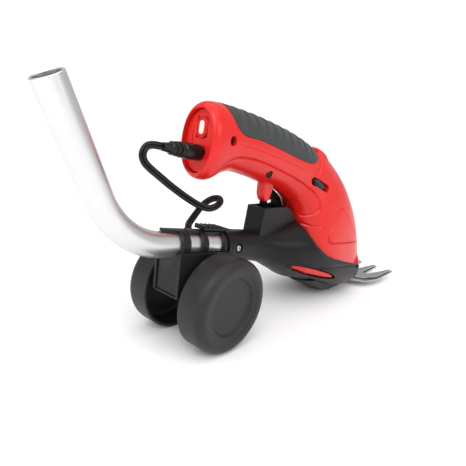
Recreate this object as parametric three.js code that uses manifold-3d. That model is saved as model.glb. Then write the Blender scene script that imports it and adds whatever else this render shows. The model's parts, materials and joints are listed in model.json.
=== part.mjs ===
// Cordless grass shears clipped into a two-wheeled guide carriage on a bent aluminium pole.
// Millimetres. X points forward to the blades, Y to the left, Z up, and the ground is z = 0.
// All places are measured from the wheel axle's foot, and the finished group is moved back by
// CENTRE_X, so that the origin lies under the middle of the object.
import * as THREE from 'three';
import { mergeVertices } from 'three/addons/utils/BufferGeometryUtils.js';
import Module from 'manifold-3d';

const wasm = await Module();
wasm.setup();

// ---------------------------------------------------------------- driving dimensions
const CENTRE_X = 89.9;         // middle of the object along X, from the axle
const GAP = 0.3;               // clearance between touching pieces

const WHEEL_R = 37.5;          // wheels and axle
const WHEEL_INNER = 18.3;      // |y| of a wheel's open inner rim
const WHEEL_WIDTH = 22.9;
const AXLE_R = 3;
const AXLE_HALF = 35;

const TUBE_R = 9.5;            // pole
const TUBE_WALL = 1.5;
const TUBE_HEIGHT = 76.5;      // height of the lower section's axis above the axle
const TUBE_SLOPE = THREE.MathUtils.degToRad(8.1);
const TUBE_END = 56;           // lower end, along the axis from above the axle
const BEND_START = -43.5;      // where the bend leaves the lower section
const BEND_R = 66;
const BEND_ANGLE = THREE.MathUtils.degToRad(55.9);
const UPPER_LENGTH = 73.5;

const WALL = 4;                // housing wall
const GRIP_DEPTH = 2.2;        // soft grip thickness

const MOTOR_X = 160;           // gear train
const MOTOR_R = 13.8;
const MODULE = 1.2;
const PINION_TEETH = 8;
const GEAR_TEETH = 24;
const GEAR_X = MOTOR_X + (PINION_TEETH + GEAR_TEETH) * MODULE / 2;
const PIVOT_X = 207;           // pivot of the moving blade
const BLADE_TIP_X = 313.65;
const TEETH = 5;

const SCREWS = { rear: [4, 158], front: [58.5, 132], low: [142, 44], nose: [196, 29] };
const SCREW_REACH = { rear: 17.6, front: 16.4, low: 35, nose: 36 };

// ---------------------------------------------------------------- solids from geometry
function toSolid(geometry) {
  const bare = new THREE.BufferGeometry();
  bare.setAttribute('position', geometry.getAttribute('position').clone());
  if (geometry.index) bare.setIndex(geometry.index.clone());
  const merged = mergeVertices(bare, 1e-4);
  return new wasm.Manifold(new wasm.Mesh({
    numProp: 3,
    vertProperties: new Float32Array(merged.getAttribute('position').array),
    triVerts: new Uint32Array(merged.index.array),
  }));
}

function toGeometry(solid) {
  const mesh = solid.getMesh();
  const geometry = new THREE.BufferGeometry();
  geometry.setAttribute('position', new THREE.BufferAttribute(mesh.vertProperties, mesh.numProp));
  geometry.setIndex(new THREE.BufferAttribute(mesh.triVerts, 1));
  return geometry;
}

const joined = (first, ...rest) => rest.reduce((sum, solid) => sum.add(solid), first);
const cut = (first, ...rest) => rest.reduce((left, solid) => left.subtract(solid), first);

function box([x0, x1], [y0, y1], [z0, z1]) {
  const geometry = new THREE.BoxGeometry(x1 - x0, y1 - y0, z1 - z0);
  return toSolid(geometry.translate((x0 + x1) / 2, (y0 + y1) / 2, (z0 + z1) / 2));
}

// a round bar between two points, tapered when the second radius is given
function rod(start, end, radius, endRadius = radius, sides = 12) {
  const from = new THREE.Vector3(...start);
  const axis = new THREE.Vector3(...end).sub(from);
  const geometry = new THREE.CylinderGeometry(endRadius, radius, axis.length(), sides);
  const turn = new THREE.Quaternion().setFromUnitVectors(
    new THREE.Vector3(0, 1, 0), axis.clone().normalize());
  geometry.applyQuaternion(turn);
  geometry.translate(...from.addScaledVector(axis, 0.5).toArray());
  return toSolid(geometry);
}

const shapeOf = (points) => new THREE.Shape(points.map(([x, y]) => new THREE.Vector2(x, y)));

// an outline in the X-Z plane, extruded from y0 to y1
function slab(outline, y0, y1) {
  const shape = outline instanceof THREE.Shape ? outline : shapeOf(outline);
  const geometry = new THREE.ExtrudeGeometry(shape, {
    depth: y1 - y0, bevelEnabled: false, curveSegments: 6 });
  return toSolid(geometry.rotateX(Math.PI / 2).translate(0, y1, 0));
}

// an outline in the X-Y plane, extruded from z0 to z1
function plate(outline, z0, z1) {
  const shape = outline instanceof THREE.Shape ? outline : shapeOf(outline);
  const geometry = new THREE.ExtrudeGeometry(shape, {
    depth: z1 - z0, bevelEnabled: false, curveSegments: 6 });
  return toSolid(geometry.translate(0, 0, z0));
}

// a slot-shaped outline with round ends, turned by slope
function oblong([x, z], length, width, slope) {
  const half = (length - width) / 2;
  const across = new THREE.Vector2(Math.cos(slope), Math.sin(slope));
  const shape = new THREE.Shape();
  for (const [side, start] of [[1, slope - Math.PI / 2], [-1, slope + Math.PI / 2]]) {
    shape.absarc(x + side * half * across.x, z + side * half * across.y,
      width / 2, start, start + Math.PI, false);
  }
  return shape;
}

// a pointed oval, as a lens is seen from the side
function lens([x, z], halfLength, halfHeight, slope) {
  const shape = new THREE.Shape();
  shape.absellipse(x, z, halfLength, halfHeight, 0, 2 * Math.PI, false, slope);
  return new THREE.Shape(shape.getPoints(11).slice(0, -1));
}

// skins a list of rings, each with the same number of points, and closes both ends
function skin(rings) {
  const sides = rings[0].length;
  const positions = rings.flat().flatMap((point) => point.toArray());
  const faces = [];
  for (let r = 0; r + 1 < rings.length; r++) {
    for (let i = 0; i < sides; i++) {
      const a = r * sides + i;
      const b = r * sides + (i + 1) % sides;
      faces.push(a, b, a + sides, b, b + sides, a + sides);
    }
  }
  for (const [ring, flip] of [[0, false], [rings.length - 1, true]]) {
    const middle = new THREE.Vector3();
    rings[ring].forEach((point) => middle.addScaledVector(point, 1 / sides));
    positions.push(...middle.toArray());
    const centre = positions.length / 3 - 1;
    for (let i = 0; i < sides; i++) {
      const a = ring * sides + i;
      const b = ring * sides + (i + 1) % sides;
      faces.push(...(flip ? [centre, a, b] : [centre, b, a]));
    }
  }
  const geometry = new THREE.BufferGeometry();
  geometry.setAttribute('position', new THREE.Float32BufferAttribute(positions, 3));
  geometry.setIndex(faces);
  return toSolid(geometry);
}

// one squared-oval ring through a top and a bottom point of the X-Z plane
function ovalRing([topX, topZ, lowX, lowZ, halfWidth, power], inset, sides) {
  const middle = new THREE.Vector3((topX + lowX) / 2, 0, (topZ + lowZ) / 2);
  const up = new THREE.Vector3(topX - lowX, 0, topZ - lowZ);
  const tall = up.length() / 2 - inset;
  up.normalize();
  const wide = halfWidth - inset;
  const ring = [];
  for (let i = 0; i < sides; i++) {
    const angle = 2 * Math.PI * i / sides;
    const c = Math.cos(angle);
    const s = Math.sin(angle);
    const y = Math.sign(c) * Math.abs(c) ** (2 / power) * wide;
    const h = Math.sign(s) * Math.abs(s) ** (2 / power) * tall;
    ring.push(middle.clone().addScaledVector(up, h).setY(y));
  }
  return ring;
}

// a body through its ribs, drawn in all round by the inset
function ribbedBody(ribs, inset = 0, sides = 24) {
  return skin(ribs.map((rib) => ovalRing(rib, inset, sides)));
}

// ---------------------------------------------------------------- scene assembly
const model = new THREE.Group();
model.position.x = -CENTRE_X;

const FINISH = {
  red: { color: 0xd8241f, roughness: 0.32, metalness: 0 },
  black: { color: 0x232426, roughness: 0.55, metalness: 0 },
  rubber: { color: 0x35383b, roughness: 0.8, metalness: 0 },
  wheel: { color: 0x2c2d2f, roughness: 0.65, metalness: 0 },
  aluminium: { color: 0xc9cbcd, roughness: 0.35, metalness: 1 },
  steel: { color: 0x9a9da1, roughness: 0.3, metalness: 1 },
  brass: { color: 0xb08a3c, roughness: 0.4, metalness: 1 },
  board: { color: 0x1f6b3a, roughness: 0.5, metalness: 0 },
  cell: { color: 0x2b62a8, roughness: 0.4, metalness: 0 },
  white: { color: 0xe8e6e2, roughness: 0.4, metalness: 0 },
  lamp: { color: 0x3a0f10, roughness: 0.1, metalness: 0 },
};

function addPiece(name, solid, finish) {
  const material = new THREE.MeshStandardMaterial(FINISH[finish]);
  const mesh = new THREE.Mesh(solid.isBufferGeometry ? solid : toGeometry(solid), material);
  mesh.name = name;
  model.add(mesh);
}

// ---------------------------------------------------------------- shears: the outer form
// ribs from the rear ring, along the handle and down the neck to the blades:
// top x, top z, bottom x, bottom z, half width, squareness
const SHEARS_RIBS = [
  [-14.8, 175.5, -18.0, 137.0, 12.6, 2.2],
  [-13.4, 180.2, -17.0, 131.8, 16.2, 2.2],
  [-10.0, 182.8, -13.2, 128.4, 17.8, 2.2],
  [-4.5, 183.6, -6.5, 127.8, 18.2, 2.2],
  [4.0, 183.0, 5.0, 131.5, 17.6, 2.2],
  [18.0, 181.5, 19.0, 133.6, 17.2, 2.2],
  [45.0, 177.6, 41.0, 129.4, 17.5, 2.2],
  [72.0, 172.4, 62.0, 123.6, 18.0, 2.2],
  [98.0, 166.4, 83.0, 118.4, 18.6, 2.2],
  [122.0, 159.0, 98.5, 111.6, 19.6, 2.2],
  [137.0, 152.4, 106.5, 106.8, 20.6, 2.2],
  [143.0, 153.4, 110.0, 104.2, 22.4, 2.3],
  [168.0, 139.2, 117.5, 94.0, 25.4, 2.4],
  [187.5, 124.0, 120.5, 84.0, 28.8, 2.5],
  [204.5, 107.0, 121.0, 73.0, 31.8, 2.5],
  [217.5, 89.4, 121.5, 61.0, 34.2, 2.6],
  [228.0, 69.6, 125.0, 49.5, 35.8, 2.7],
  [234.8, 49.5, 133.0, 39.0, 36.4, 2.8],
  [237.8, 31.0, 143.0, 29.5, 35.6, 2.8],
  [239.8, 21.0, 152.0, 20.0, 33.0, 2.8],
  [238.6, 14.6, 160.0, 14.6, 28.0, 2.8],
];
const shearsForm = ribbedBody(SHEARS_RIBS);

// side view of the soft grip, which saddles the top of the handle
const GRIP_OUTLINE = [
  [0.5, 190], [4, 176], [8, 168.5], [14, 163.5], [22, 161.2], [34, 159.8], [50, 156.4],
  [70, 151.6], [90, 146.4], [106, 142.9], [116, 142.0], [124, 143.8], [131, 148],
  [135, 153], [142, 165], [120, 190],
];
const gripSlab = slab(GRIP_OUTLINE, -40, 40);
const gripPart = gripSlab.translate(0.15, 0, 0.35);

function buildGrip() {
  return shearsForm.subtract(ribbedBody(SHEARS_RIBS, GRIP_DEPTH)).intersect(gripPart);
}

// ---------------------------------------------------------------- shears: housing halves
const BUTTON_PLACE = [129, 122.6];
const BUTTON_SLOPE = -0.37;
const LAMP_START = [195, 0, 84.5];
const LAMP_AXIS = new THREE.Vector3(0.8, 0, 0.6);
const lampPoint = (distance) => new THREE.Vector3(...LAMP_START)
  .addScaledVector(LAMP_AXIS, distance).toArray();

// lever slots follow the cup's lower edge
const SLOT_PLACE = [130, 37.6];
const SLOT_SLOPE = -0.3;
const slotSlab = (halfLength, halfHeight, y0, y1) => (
  slab(lens(SLOT_PLACE, halfLength, halfHeight, SLOT_SLOPE), y0, y1));

function buildHousings() {
  const gripBed = gripSlab.subtract(ribbedBody(SHEARS_RIBS, GRIP_DEPTH + GAP));
  const openEnd = ribbedBody([
    [-22.8, 177.0, -27.0, 133.0, 15.2, 2.2],
    [-4.9, 178.5, -8.2, 132.9, 14.9, 2.2],
    [4.0, 177.8, 4.8, 136.5, 13.8, 2.2],
  ]);
  const cavityRibs = SHEARS_RIBS.slice(4, -1);
  const [bottomX, , bottomLowX, , bottomWidth, bottomPower] = SHEARS_RIBS.at(-1);
  cavityRibs.push([bottomX, 8, bottomLowX, 8, bottomWidth, bottomPower]);
  const cavity = ribbedBody(cavityRibs, WALL, 16);

  const bosses = Object.values(SCREWS).map(([x, z]) => rod([x, -34, z], [x, 34, z], 4.6));
  const screwHoles = Object.entries(SCREWS).map(([name, [x, z]]) => joined(
    rod([x, -42, z], [x, -SCREW_REACH[name] + 4.2, z], 3.3),
    rod([x, -SCREW_REACH[name], z], [x, 12.5, z], 1.8)));

  const leverPocket = ribbedBody(CUP_RIBS, -2).subtract(ribbedBody(CUP_RIBS, 5.0))
    .intersect(slotSlab(34, 5.4, -50, 50));
  const frame = shearsForm.subtract(cavity).add(joined(...bosses).intersect(shearsForm));
  const shell = cut(frame, openEnd, gripBed,
    slab([[65, 105], [80.8, 105], [80.8, 136], [65, 136]], -5.1, 5.1),
    slab(oblong(BUTTON_PLACE, 27, 7.4, BUTTON_SLOPE), -40, 40),
    rod(lampPoint(0), lampPoint(60), 3.8),
    leverPocket, ...screwHoles);
  const half = (side) => {
    const reach = [side * GAP / 2, side * 60].sort((a, b) => a - b);
    const piece = shell.intersect(box([-60, 300], reach, [0, 220]));
    return piece.decompose().sort((a, b) => b.volume() - a.volume())[0];
  };
  return [half(-1), half(1)];
}

function buildScrew(name) {
  const [x, z] = SCREWS[name];
  const head = -SCREW_REACH[name] + 4.2 - GAP;
  return joined(
    rod([x, head - 2.2, z], [x, head, z], 2.9),
    rod([x, head - 0.5, z], [x, 12, z], 1.4)).subtract(
    joined(
      box([x - 2, x + 2], [head - 3, head - 1.2], [z - 0.4, z + 0.4]),
      box([x - 0.4, x + 0.4], [head - 3, head - 1.2], [z - 2, z + 2])));
}

// ---------------------------------------------------------------- shears: rear end
const PLUG_AXIS = new THREE.Vector3(-0.984, 0, 0.1);
PLUG_AXIS.normalize();
const PLUG_FRONT = new THREE.Vector3(-13.4, -1, 147.2);
const plugPoint = (distance) => PLUG_FRONT.clone().addScaledVector(PLUG_AXIS, distance).toArray();

function buildRearPlate() {
  const disc = ribbedBody([
    [-10.6, 177.4, -13.9, 133.8, 14.5, 2.2],
    [-8.2, 177.6, -11.5, 133.7, 14.5, 2.2],
  ]);
  const badgeBed = box([-20, -10.0], [-5.6, 5.6], [157.3, 172.7]);
  return cut(disc, rod(plugPoint(-12), plugPoint(12), 5.0), badgeBed);
}

function buildRearBadge() {
  const outline = oblong([0, 0], 14.6, 10.6, 0);
  const geometry = new THREE.ExtrudeGeometry(outline, {
    depth: 1.2, bevelEnabled: false, curveSegments: 8 });
  geometry.rotateY(-Math.PI / 2 + 0.07).translate(-10.7, 0, 165);
  return toSolid(geometry);
}

function buildChargeSocket() {
  const body = box([-7.5, 3.4], [-5.6, 3.6], [141.6, 150.6]);
  const collar = rod(plugPoint(0), plugPoint(-8), 4.6);
  return joined(body, collar).subtract(rod(plugPoint(20), plugPoint(-9), 2.8));
}

// ---------------------------------------------------------------- shears: handle contents
const CELL_START = [13.4, 0, 165.2];
const CELL_END = [77.6, 0, 154.2];
const CELL_R = 9.2;

function buildCell() {
  const nub = new THREE.Vector3(...CELL_END).lerp(new THREE.Vector3(...CELL_START), -0.02);
  return joined(rod(CELL_START, CELL_END, CELL_R), rod(CELL_END, nub.toArray(), 3));
}

// a sloping strip below the cell; drop is the distance under the cell's axis
const underCell = (x0, x1, drop, thickness) => {
  const slope = (CELL_END[2] - CELL_START[2]) / (CELL_END[0] - CELL_START[0]);
  const height = (x) => CELL_START[2] + (x - CELL_START[0]) * slope - drop;
  return [[x0, height(x0)], [x1, height(x1)], [x1, height(x1) + thickness],
    [x0, height(x0) + thickness]];
};

function buildTray() {
  const base = slab(underCell(10, 82, 12.2, 2.2), -9, 9);
  return joined(base,
    slab(underCell(9.4, 11.4, 12.2, 9), -9, 9),
    slab(underCell(80.6, 82.6, 12.2, 9), -9, 9));
}

const buildBoard = () => slab(underCell(12, 50, 15.4, 1.6), -9.5, 9.5);

function buildTrigger() {
  const shape = shapeOf([[66, 131.4], [66, 114], [67.2, 111]]);
  shape.absarc(72.4, 111, 4.6, Math.PI, 2 * Math.PI, false);
  shape.lineTo(78.6, 114.5);
  shape.lineTo(79.8, 118);
  shape.lineTo(79.8, 131.4);
  return slab(shape, -4.5, 4.5);
}

function buildTriggerSpring() {
  const turns = 3;
  const points = [];
  for (let i = 0; i <= turns * 8; i++) {
    const angle = 2 * Math.PI * i / 8;
    points.push(new THREE.Vector3(
      69 + 2 * Math.cos(angle), 2 * Math.sin(angle), 131.9 + 6.4 * i / (turns * 8)));
  }
  const wire = new THREE.Shape();
  wire.absarc(0, 0, 0.4, 0, 2 * Math.PI, false);
  return toSolid(new THREE.ExtrudeGeometry(wire, {
    steps: turns * 12, bevelEnabled: false, curveSegments: 3,
    extrudePath: new THREE.CatmullRomCurve3(points) }));
}

function buildSwitch() {
  return joined(
    box([72.8, 80.2], [-3.4, 3.4], [136.6, 141.4]),
    box([66.2, 74], [-3.4, 3.4], [138.7, 141.4]),
    box([75, 77], [-1.4, 1.4], [135.8, 137]));
}

function buildLockoutButton() {
  const bar = slab(oblong(BUTTON_PLACE, 26.2, 6.6, BUTTON_SLOPE), -22.6, 22.6);
  const waist = slab(oblong(BUTTON_PLACE, 34, 14, BUTTON_SLOPE), -14, 14).subtract(
    slab(oblong(BUTTON_PLACE, 18, 3.6, BUTTON_SLOPE), -15, 15));
  return bar.subtract(waist);
}

// ---------------------------------------------------------------- shears: gear train
const MOTOR_LOW = 66;
const GEAR_LOW = 57;

function gearOutline(teeth, centre, phase) {
  const pitch = MODULE * teeth / 2;
  const step = 2 * Math.PI / teeth;
  const points = [];
  for (let i = 0; i < teeth; i++) {
    for (const [share, radius] of [[-0.28, pitch - 1.4], [-0.1, pitch + 1],
      [0.1, pitch + 1], [0.28, pitch - 1.4]]) {
      const angle = phase + (i + share) * step;
      points.push([centre + radius * Math.cos(angle), radius * Math.sin(angle)]);
    }
  }
  return points;
}

const buildMotor = () => joined(
  rod([MOTOR_X, 0, MOTOR_LOW], [MOTOR_X, 0, MOTOR_LOW + 36], MOTOR_R),
  rod([MOTOR_X, 0, MOTOR_LOW + 35], [MOTOR_X, 0, MOTOR_LOW + 39], 5));

const buildPinion = () => joined(
  plate(gearOutline(PINION_TEETH, MOTOR_X, 0), GEAR_LOW, GEAR_LOW + 7),
  rod([MOTOR_X, 0, GEAR_LOW - 3], [MOTOR_X, 0, MOTOR_LOW - GAP], 1.2));

const SHAFT_R = 2.5;
function buildDriveGear() {
  const wheel = plate(gearOutline(GEAR_TEETH, GEAR_X, Math.PI / GEAR_TEETH),
    GEAR_LOW + 0.5, GEAR_LOW + 6);
  const hub = rod([GEAR_X, 0, GEAR_LOW - 1], [GEAR_X, 0, GEAR_LOW + 7], 5);
  return joined(wheel, hub).subtract(
    rod([GEAR_X, 0, 40], [GEAR_X, 0, 80], SHAFT_R + GAP));
}

const CRANK_THROW = 2.5;
const buildShaft = () => joined(
  rod([GEAR_X, 0, 16], [GEAR_X, 0, GEAR_LOW + 9], SHAFT_R),
  rod([GEAR_X, 0, 14], [GEAR_X, 0, 17], 6),
  rod([GEAR_X + CRANK_THROW, 0, 8.4], [GEAR_X + CRANK_THROW, 0, 14.5], 2));

function buildGearPlate() {
  const outline = ovalRing([214, 0, 149.5, 0, 24, 2.6], 0, 24).map(({ x, y }) => [x, y]);
  return cut(joined(plate(outline, 47, 50),
    rod([GEAR_X, 0, 42], [GEAR_X, 0, 53], 5.5)),
  rod([GEAR_X, 0, 30], [GEAR_X, 0, 60], SHAFT_R + GAP));
}

// ---------------------------------------------------------------- shears: blades
const RIVET_X = 219;
const RIVET_Y = 11;

function buildBladeBase() {
  const outline = ovalRing([229, 0, 168, 0, 21, 3], 0, 24).map(({ x, y }) => [x, y]);
  return cut(plate(outline, 11.2, 13.4),
    rod([GEAR_X, 0, 5], [GEAR_X, 0, 20], 7.2),
    rod([PIVOT_X, 0, 5], [PIVOT_X, 0, 20], 3.4),
    ...[-1, 1].map((side) => rod([RIVET_X, side * RIVET_Y, 5],
      [RIVET_X, side * RIVET_Y, 20], 2.4)));
}

// teeth along the front of a blade, from the right to the left
function toothPoints(rootX, tipX, rootPitch, tipPitch, rootWidth, tipWidth) {
  const points = [];
  for (let i = 0; i < TEETH; i++) {
    const order = i - (TEETH - 1) / 2;
    points.push([rootX, order * rootPitch - rootWidth / 2],
      [tipX, order * tipPitch - tipWidth / 2],
      [tipX, order * tipPitch + tipWidth / 2],
      [rootX, order * rootPitch + rootWidth / 2]);
  }
  return points;
}

function buildComb() {
  const outline = [[194, -16], [225, -17], [241, -39], [258, -43.6],
    ...toothPoints(266, BLADE_TIP_X, 19.2, 21, 13, 2.6),
    [258, 43.6], [241, 39], [225, 17], [194, 16]];
  return cut(plate(outline, 6.2, 8.2),
    rod([PIVOT_X, 0, 5], [PIVOT_X, 0, 10], 3.4),
    ...[-1, 1].map((side) => rod([RIVET_X, side * RIVET_Y, 5],
      [RIVET_X, side * RIVET_Y, 10], 2.4)));
}

function buildCutter() {
  const outline = [[171, -10], [191, -10], [202, -7.5], [214, -6.2], [224, -6.4], [237, -19],
    [246, -35], ...toothPoints(264, BLADE_TIP_X - 6, 18.6, 20.5, 10, 2),
    [246, 35], [237, 19], [224, 6.4], [214, 6.2], [202, 7.5], [191, 10], [171, 10]];
  const slot = plate([[174, -7], [188, -7], [188, 7], [174, 7]], 5, 12);
  return cut(plate(outline, 8.6, 10.6), slot, rod([PIVOT_X, 0, 5], [PIVOT_X, 0, 12], 3.4));
}

const buildPivot = () => joined(
  rod([PIVOT_X, 0, 4.9], [PIVOT_X, 0, 16], 3),
  rod([PIVOT_X, 0, 3.9], [PIVOT_X, 0, 5.8], 5.5),
  rod([PIVOT_X, 0, 13.8], [PIVOT_X, 0, 16], 5.5));

const buildRivet = (y) => joined(
  rod([RIVET_X, y, 5], [RIVET_X, y, 15.4], 2),
  rod([RIVET_X, y, 5.1], [RIVET_X, y, 5.9], 2.8),
  rod([RIVET_X, y, 13.8], [RIVET_X, y, 15.4], 3.6));

// ---------------------------------------------------------------- carriage body
// ribs across X from the pole socket to the front of the cup:
// x, top z, x, bottom z, half width, squareness
const CUP_RIBS = [
  [46, 83.2, 46, 56.8, 13.0, 2.0],
  [60, 81.3, 60, 53.6, 13.6, 2.1],
  [74, 80.8, 74, 49.6, 17.0, 2.1],
  [88, 82.0, 88, 42.6, 23.0, 2.0],
  [102, 85.0, 102, 35.6, 29.0, 2.0],
  [116, 87.6, 116, 28.4, 33.4, 2.0],
  [131, 82.0, 131, 23.4, 36.8, 2.1],
  [148, 71.0, 148, 16.2, 39.0, 2.2],
  [166, 62.0, 166, 7.4, 39.7, 2.3],
  [184, 57.0, 184, 0.6, 39.8, 2.3],
  [204, 54.0, 204, -1.0, 39.6, 2.3],
  [214, 52.6, 214, 0.6, 39.2, 2.3],
];
const CUP_WALL = 2.2;
const SOCKET_START = 19.5;
const SOCKET_R = 13;

const lowerAxis = (distance) => [
  distance * Math.cos(TUBE_SLOPE), 0, TUBE_HEIGHT - distance * Math.sin(TUBE_SLOPE)];

function buildCarriage() {
  const outside = ribbedBody(CUP_RIBS);
  const hollowRibs = CUP_RIBS.slice(2);
  hollowRibs.push([240, 52, 240, 1.6, 38.8, 2.3]);
  const hollow = ribbedBody(hollowRibs, CUP_WALL)
    .intersect(box([60, 300], [-60, 60], [2.6, 120]));
  const rim = [[119, 140], [119, 84.6], [118.8, 77], [123, 69], [130, 61.8], [142, 54.2],
    [156, 49], [172, 44.4], [192, 38.6], [212, 33.4], [226, 30], [226, 140]];

  const tower = slab([[60.4, 72], [63.7, 102.2], [98, 101.2], [104, 98.6], [110, 94.2],
    [115, 89.6], [119, 84.4], [119, 72]], -9.6, 9.6);
  const towerRoom = slab([[66, 60], [66, 110], [97, 110], [97, 99.4], [103, 96.6],
    [109, 92.2], [113.5, 88], [116.5, 83], [116.5, 60]], -7.6, 7.6);
  const fin = slab([[80, 100], [80.5, 114], [84, 120], [100, 118], [115, 106],
    [119, 96], [113, 91], [106, 96], [97, 100]], 7.8, 9.6)
    .subtract(box([90, 97.5], [7, 10], [101.4, 104.4]));

  const skirt = rod(lowerAxis(SOCKET_START), lowerAxis(60), SOCKET_R, SOCKET_R, 24);
  const bore = rod(lowerAxis(10), lowerAxis(TUBE_END + 1), TUBE_R + GAP, TUBE_R + GAP, 24);
  const topSlot = plate(oblong([27, 0], 9, 4.6, 0), 80, 100);
  const [screwX, , screwZ] = lowerAxis(32);
  const sideHole = rod([screwX, -20, screwZ], [screwX, -5, screwZ], 4);

  const body = joined(outside, skirt, tower, fin);
  const grown = ribbedBody(SHEARS_RIBS, -GAP);
  const carriage = cut(body, hollow, towerRoom, slab(rim, -60, 60), bore, topSlot, sideHole, grown,
    slotSlab(34, 4.4, -60, -15), slotSlab(34, 4.4, 15, 60),
    box([0, 300], [-60, 60], [-20, 0]));
  return carriage.decompose().sort((a, b) => b.volume() - a.volume())[0];
}

function buildLever(side) {
  const reach = [side * 15, side * 60].sort((a, b) => a - b);
  const band = ribbedBody(CUP_RIBS, 0.5).subtract(ribbedBody(CUP_RIBS, 2.3));
  return band.intersect(slotSlab(32, 3.1, ...reach));
}

function buildPoleScrew() {
  const [x, , z] = lowerAxis(32);
  return joined(rod([x, -13, z], [x, -11.2, z], 2.6), rod([x, -11.5, z], [x, -5.5, z], 1.4))
    .subtract(box([x - 2, x + 2], [-14, -12.2], [z - 0.4, z + 0.4]));
}

// ---------------------------------------------------------------- wheel bracket
const HOOPS = [[-30.5, -22.5], [-9.5, -3.5], [14.4, 17.8]];
const BRACKET_IN = TUBE_R + GAP;
const BRACKET_OUT = 12;
const BRACKET_END = HOOPS.at(-1)[1];

function buildBracket() {
  const tube = (from, to, radius) => rod(lowerAxis(from), lowerAxis(to), radius, radius, 20);
  const hoops = HOOPS.map(([from, to]) => tube(from, to, BRACKET_OUT));
  const sleeve = tube(HOOPS[0][0], BRACKET_END, BRACKET_OUT);
  const lowerHalf = sleeve.intersect(slab([[-60, 40], [60, 40],
    [60, TUBE_HEIGHT - 10.5], [-60, TUBE_HEIGHT + 6.6]], -20, 20));
  const spine = sleeve.intersect(box([-40, 40], [-4.6, 4.6], [80, 110]));
  const tongue = tube(-44, HOOPS[0][1], BRACKET_OUT).intersect(
    plate([[-44, -1.4], [-24, -5], [-24, 5], [-44, 1.4]], 84, 110));

  const legOutline = [[-34, 77.6], [-34, 43], [-8, 31.5], [7, 31.5], [9.5, 40], [12, 52],
    [17.6, 63.5], [17.6, 71.6]];
  const legs = [-1, 1].map((side) => slab(legOutline, side > 0 ? 11.2 : -13.8,
    side > 0 ? 13.8 : -11.2));
  const rearPanel = slab([[-34, 76], [-34, 43], [-31.4, 41.8], [-31.4, 76]], -12, 12);
  const deck = slab([[-34, 66], [17, 59], [17, 62], [-34, 69]], -12, 12);
  const boss = rod([0, -16.4, WHEEL_R], [0, 16.4, WHEEL_R], 6.6);

  const solid = joined(...hoops, lowerHalf, spine, tongue, ...legs, rearPanel, deck, boss);
  return cut(solid, tube(-60, 30, BRACKET_IN),
    rod([0, -40, WHEEL_R], [0, 40, WHEEL_R], AXLE_R + GAP),
    rod([GROMMET_X, 0, 84], [GROMMET_X, 0, 100], 3.9));
}

// toothed clip that locks the bracket round the pole; it lies on the spine and its front
// end reaches over the carriage socket
const CLIP = { rear: -4, step: 18.9, front: 24, teeth: 4, pitch: 4.6, height: 3.6 };
function buildClip() {
  const above = (x, lift) => [x, TUBE_HEIGHT + 12.4 + lift - x * Math.tan(TUBE_SLOPE)];
  const profile = [above(CLIP.rear, 0), above(CLIP.rear, CLIP.height)];
  for (let tooth = 0; tooth < CLIP.teeth; tooth++) {
    const x = CLIP.rear + 2.6 + tooth * CLIP.pitch;
    profile.push(above(x, CLIP.height), above(x + 0.6, 1.9), above(x + 2.2, 2.1),
      above(x + 3.4, CLIP.height));
  }
  profile.push(above(CLIP.front, 2.4), above(CLIP.front, 1.1), above(CLIP.step, 1.1),
    above(CLIP.step, 0));
  return slab(profile, -5.5, 5.5);
}

// ---------------------------------------------------------------- wheels and axle
function buildWheel(side) {
  const outline = [[0, 17.4], [3.25, 17.4], [3.25, 1], [7, 1], [7, 17.2], [23, 17.2], [26, 19.4],
    [33, 19.4], [35, 16.6], [35, 0], [WHEEL_R, 0], [WHEEL_R, 16], [36.9, 19.2],
    [35.1, 21.8], [31.8, WHEEL_WIDTH], [26.5, 22.6], [21.8, 19.6], [0, 19]];
  const points = outline.map(([radius, width]) => new THREE.Vector2(radius, width));
  const geometry = new THREE.LatheGeometry(points, 24);
  if (side < 0) geometry.rotateX(Math.PI);
  return toSolid(geometry.translate(0, side * WHEEL_INNER, WHEEL_R));
}

const buildAxle = () => rod([0, -AXLE_HALF, WHEEL_R], [0, AXLE_HALF, WHEEL_R], AXLE_R);

const buildAxleClip = (side) => rod([0, side * 16.8, WHEEL_R], [0, side * 17.8, WHEEL_R], 5.2)
  .subtract(joined(rod([0, side * 16, WHEEL_R], [0, side * 19, WHEEL_R], AXLE_R + 0.1),
    box([-1.6, 1.6], [-20, 20], [WHEEL_R, WHEEL_R + 8])));

// ---------------------------------------------------------------- pole
const POLE_SIDES = 16;
function poleRings(radius, extra) {
  const rings = [];
  const addRing = (centre, slope) => {
    const across = new THREE.Vector3(-Math.sin(slope), 0, Math.cos(slope));
    const ring = [];
    for (let i = 0; i < POLE_SIDES; i++) {
      const angle = 2 * Math.PI * i / POLE_SIDES;
      ring.push(centre.clone().addScaledVector(across, radius * Math.sin(angle))
        .setY(-radius * Math.cos(angle)));
    }
    rings.push(ring);
  };
  addRing(new THREE.Vector3(...lowerAxis(TUBE_END + extra)), -TUBE_SLOPE);
  const start = new THREE.Vector3(...lowerAxis(BEND_START));
  const hub = start.clone().add(new THREE.Vector3(
    BEND_R * Math.sin(TUBE_SLOPE), 0, BEND_R * Math.cos(TUBE_SLOPE)));
  const steps = 8;
  for (let k = 0; k <= steps; k++) {
    const slope = -TUBE_SLOPE - BEND_ANGLE * k / steps;
    addRing(hub.clone().add(new THREE.Vector3(
      BEND_R * Math.sin(slope), 0, -BEND_R * Math.cos(slope))), slope);
  }
  const last = -TUBE_SLOPE - BEND_ANGLE;
  const end = hub.clone().add(new THREE.Vector3(
    BEND_R * Math.sin(last), 0, -BEND_R * Math.cos(last)));
  end.add(new THREE.Vector3(-Math.cos(last), 0, -Math.sin(last))
    .multiplyScalar(UPPER_LENGTH + extra));
  addRing(end, last);
  return rings;
}

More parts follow.
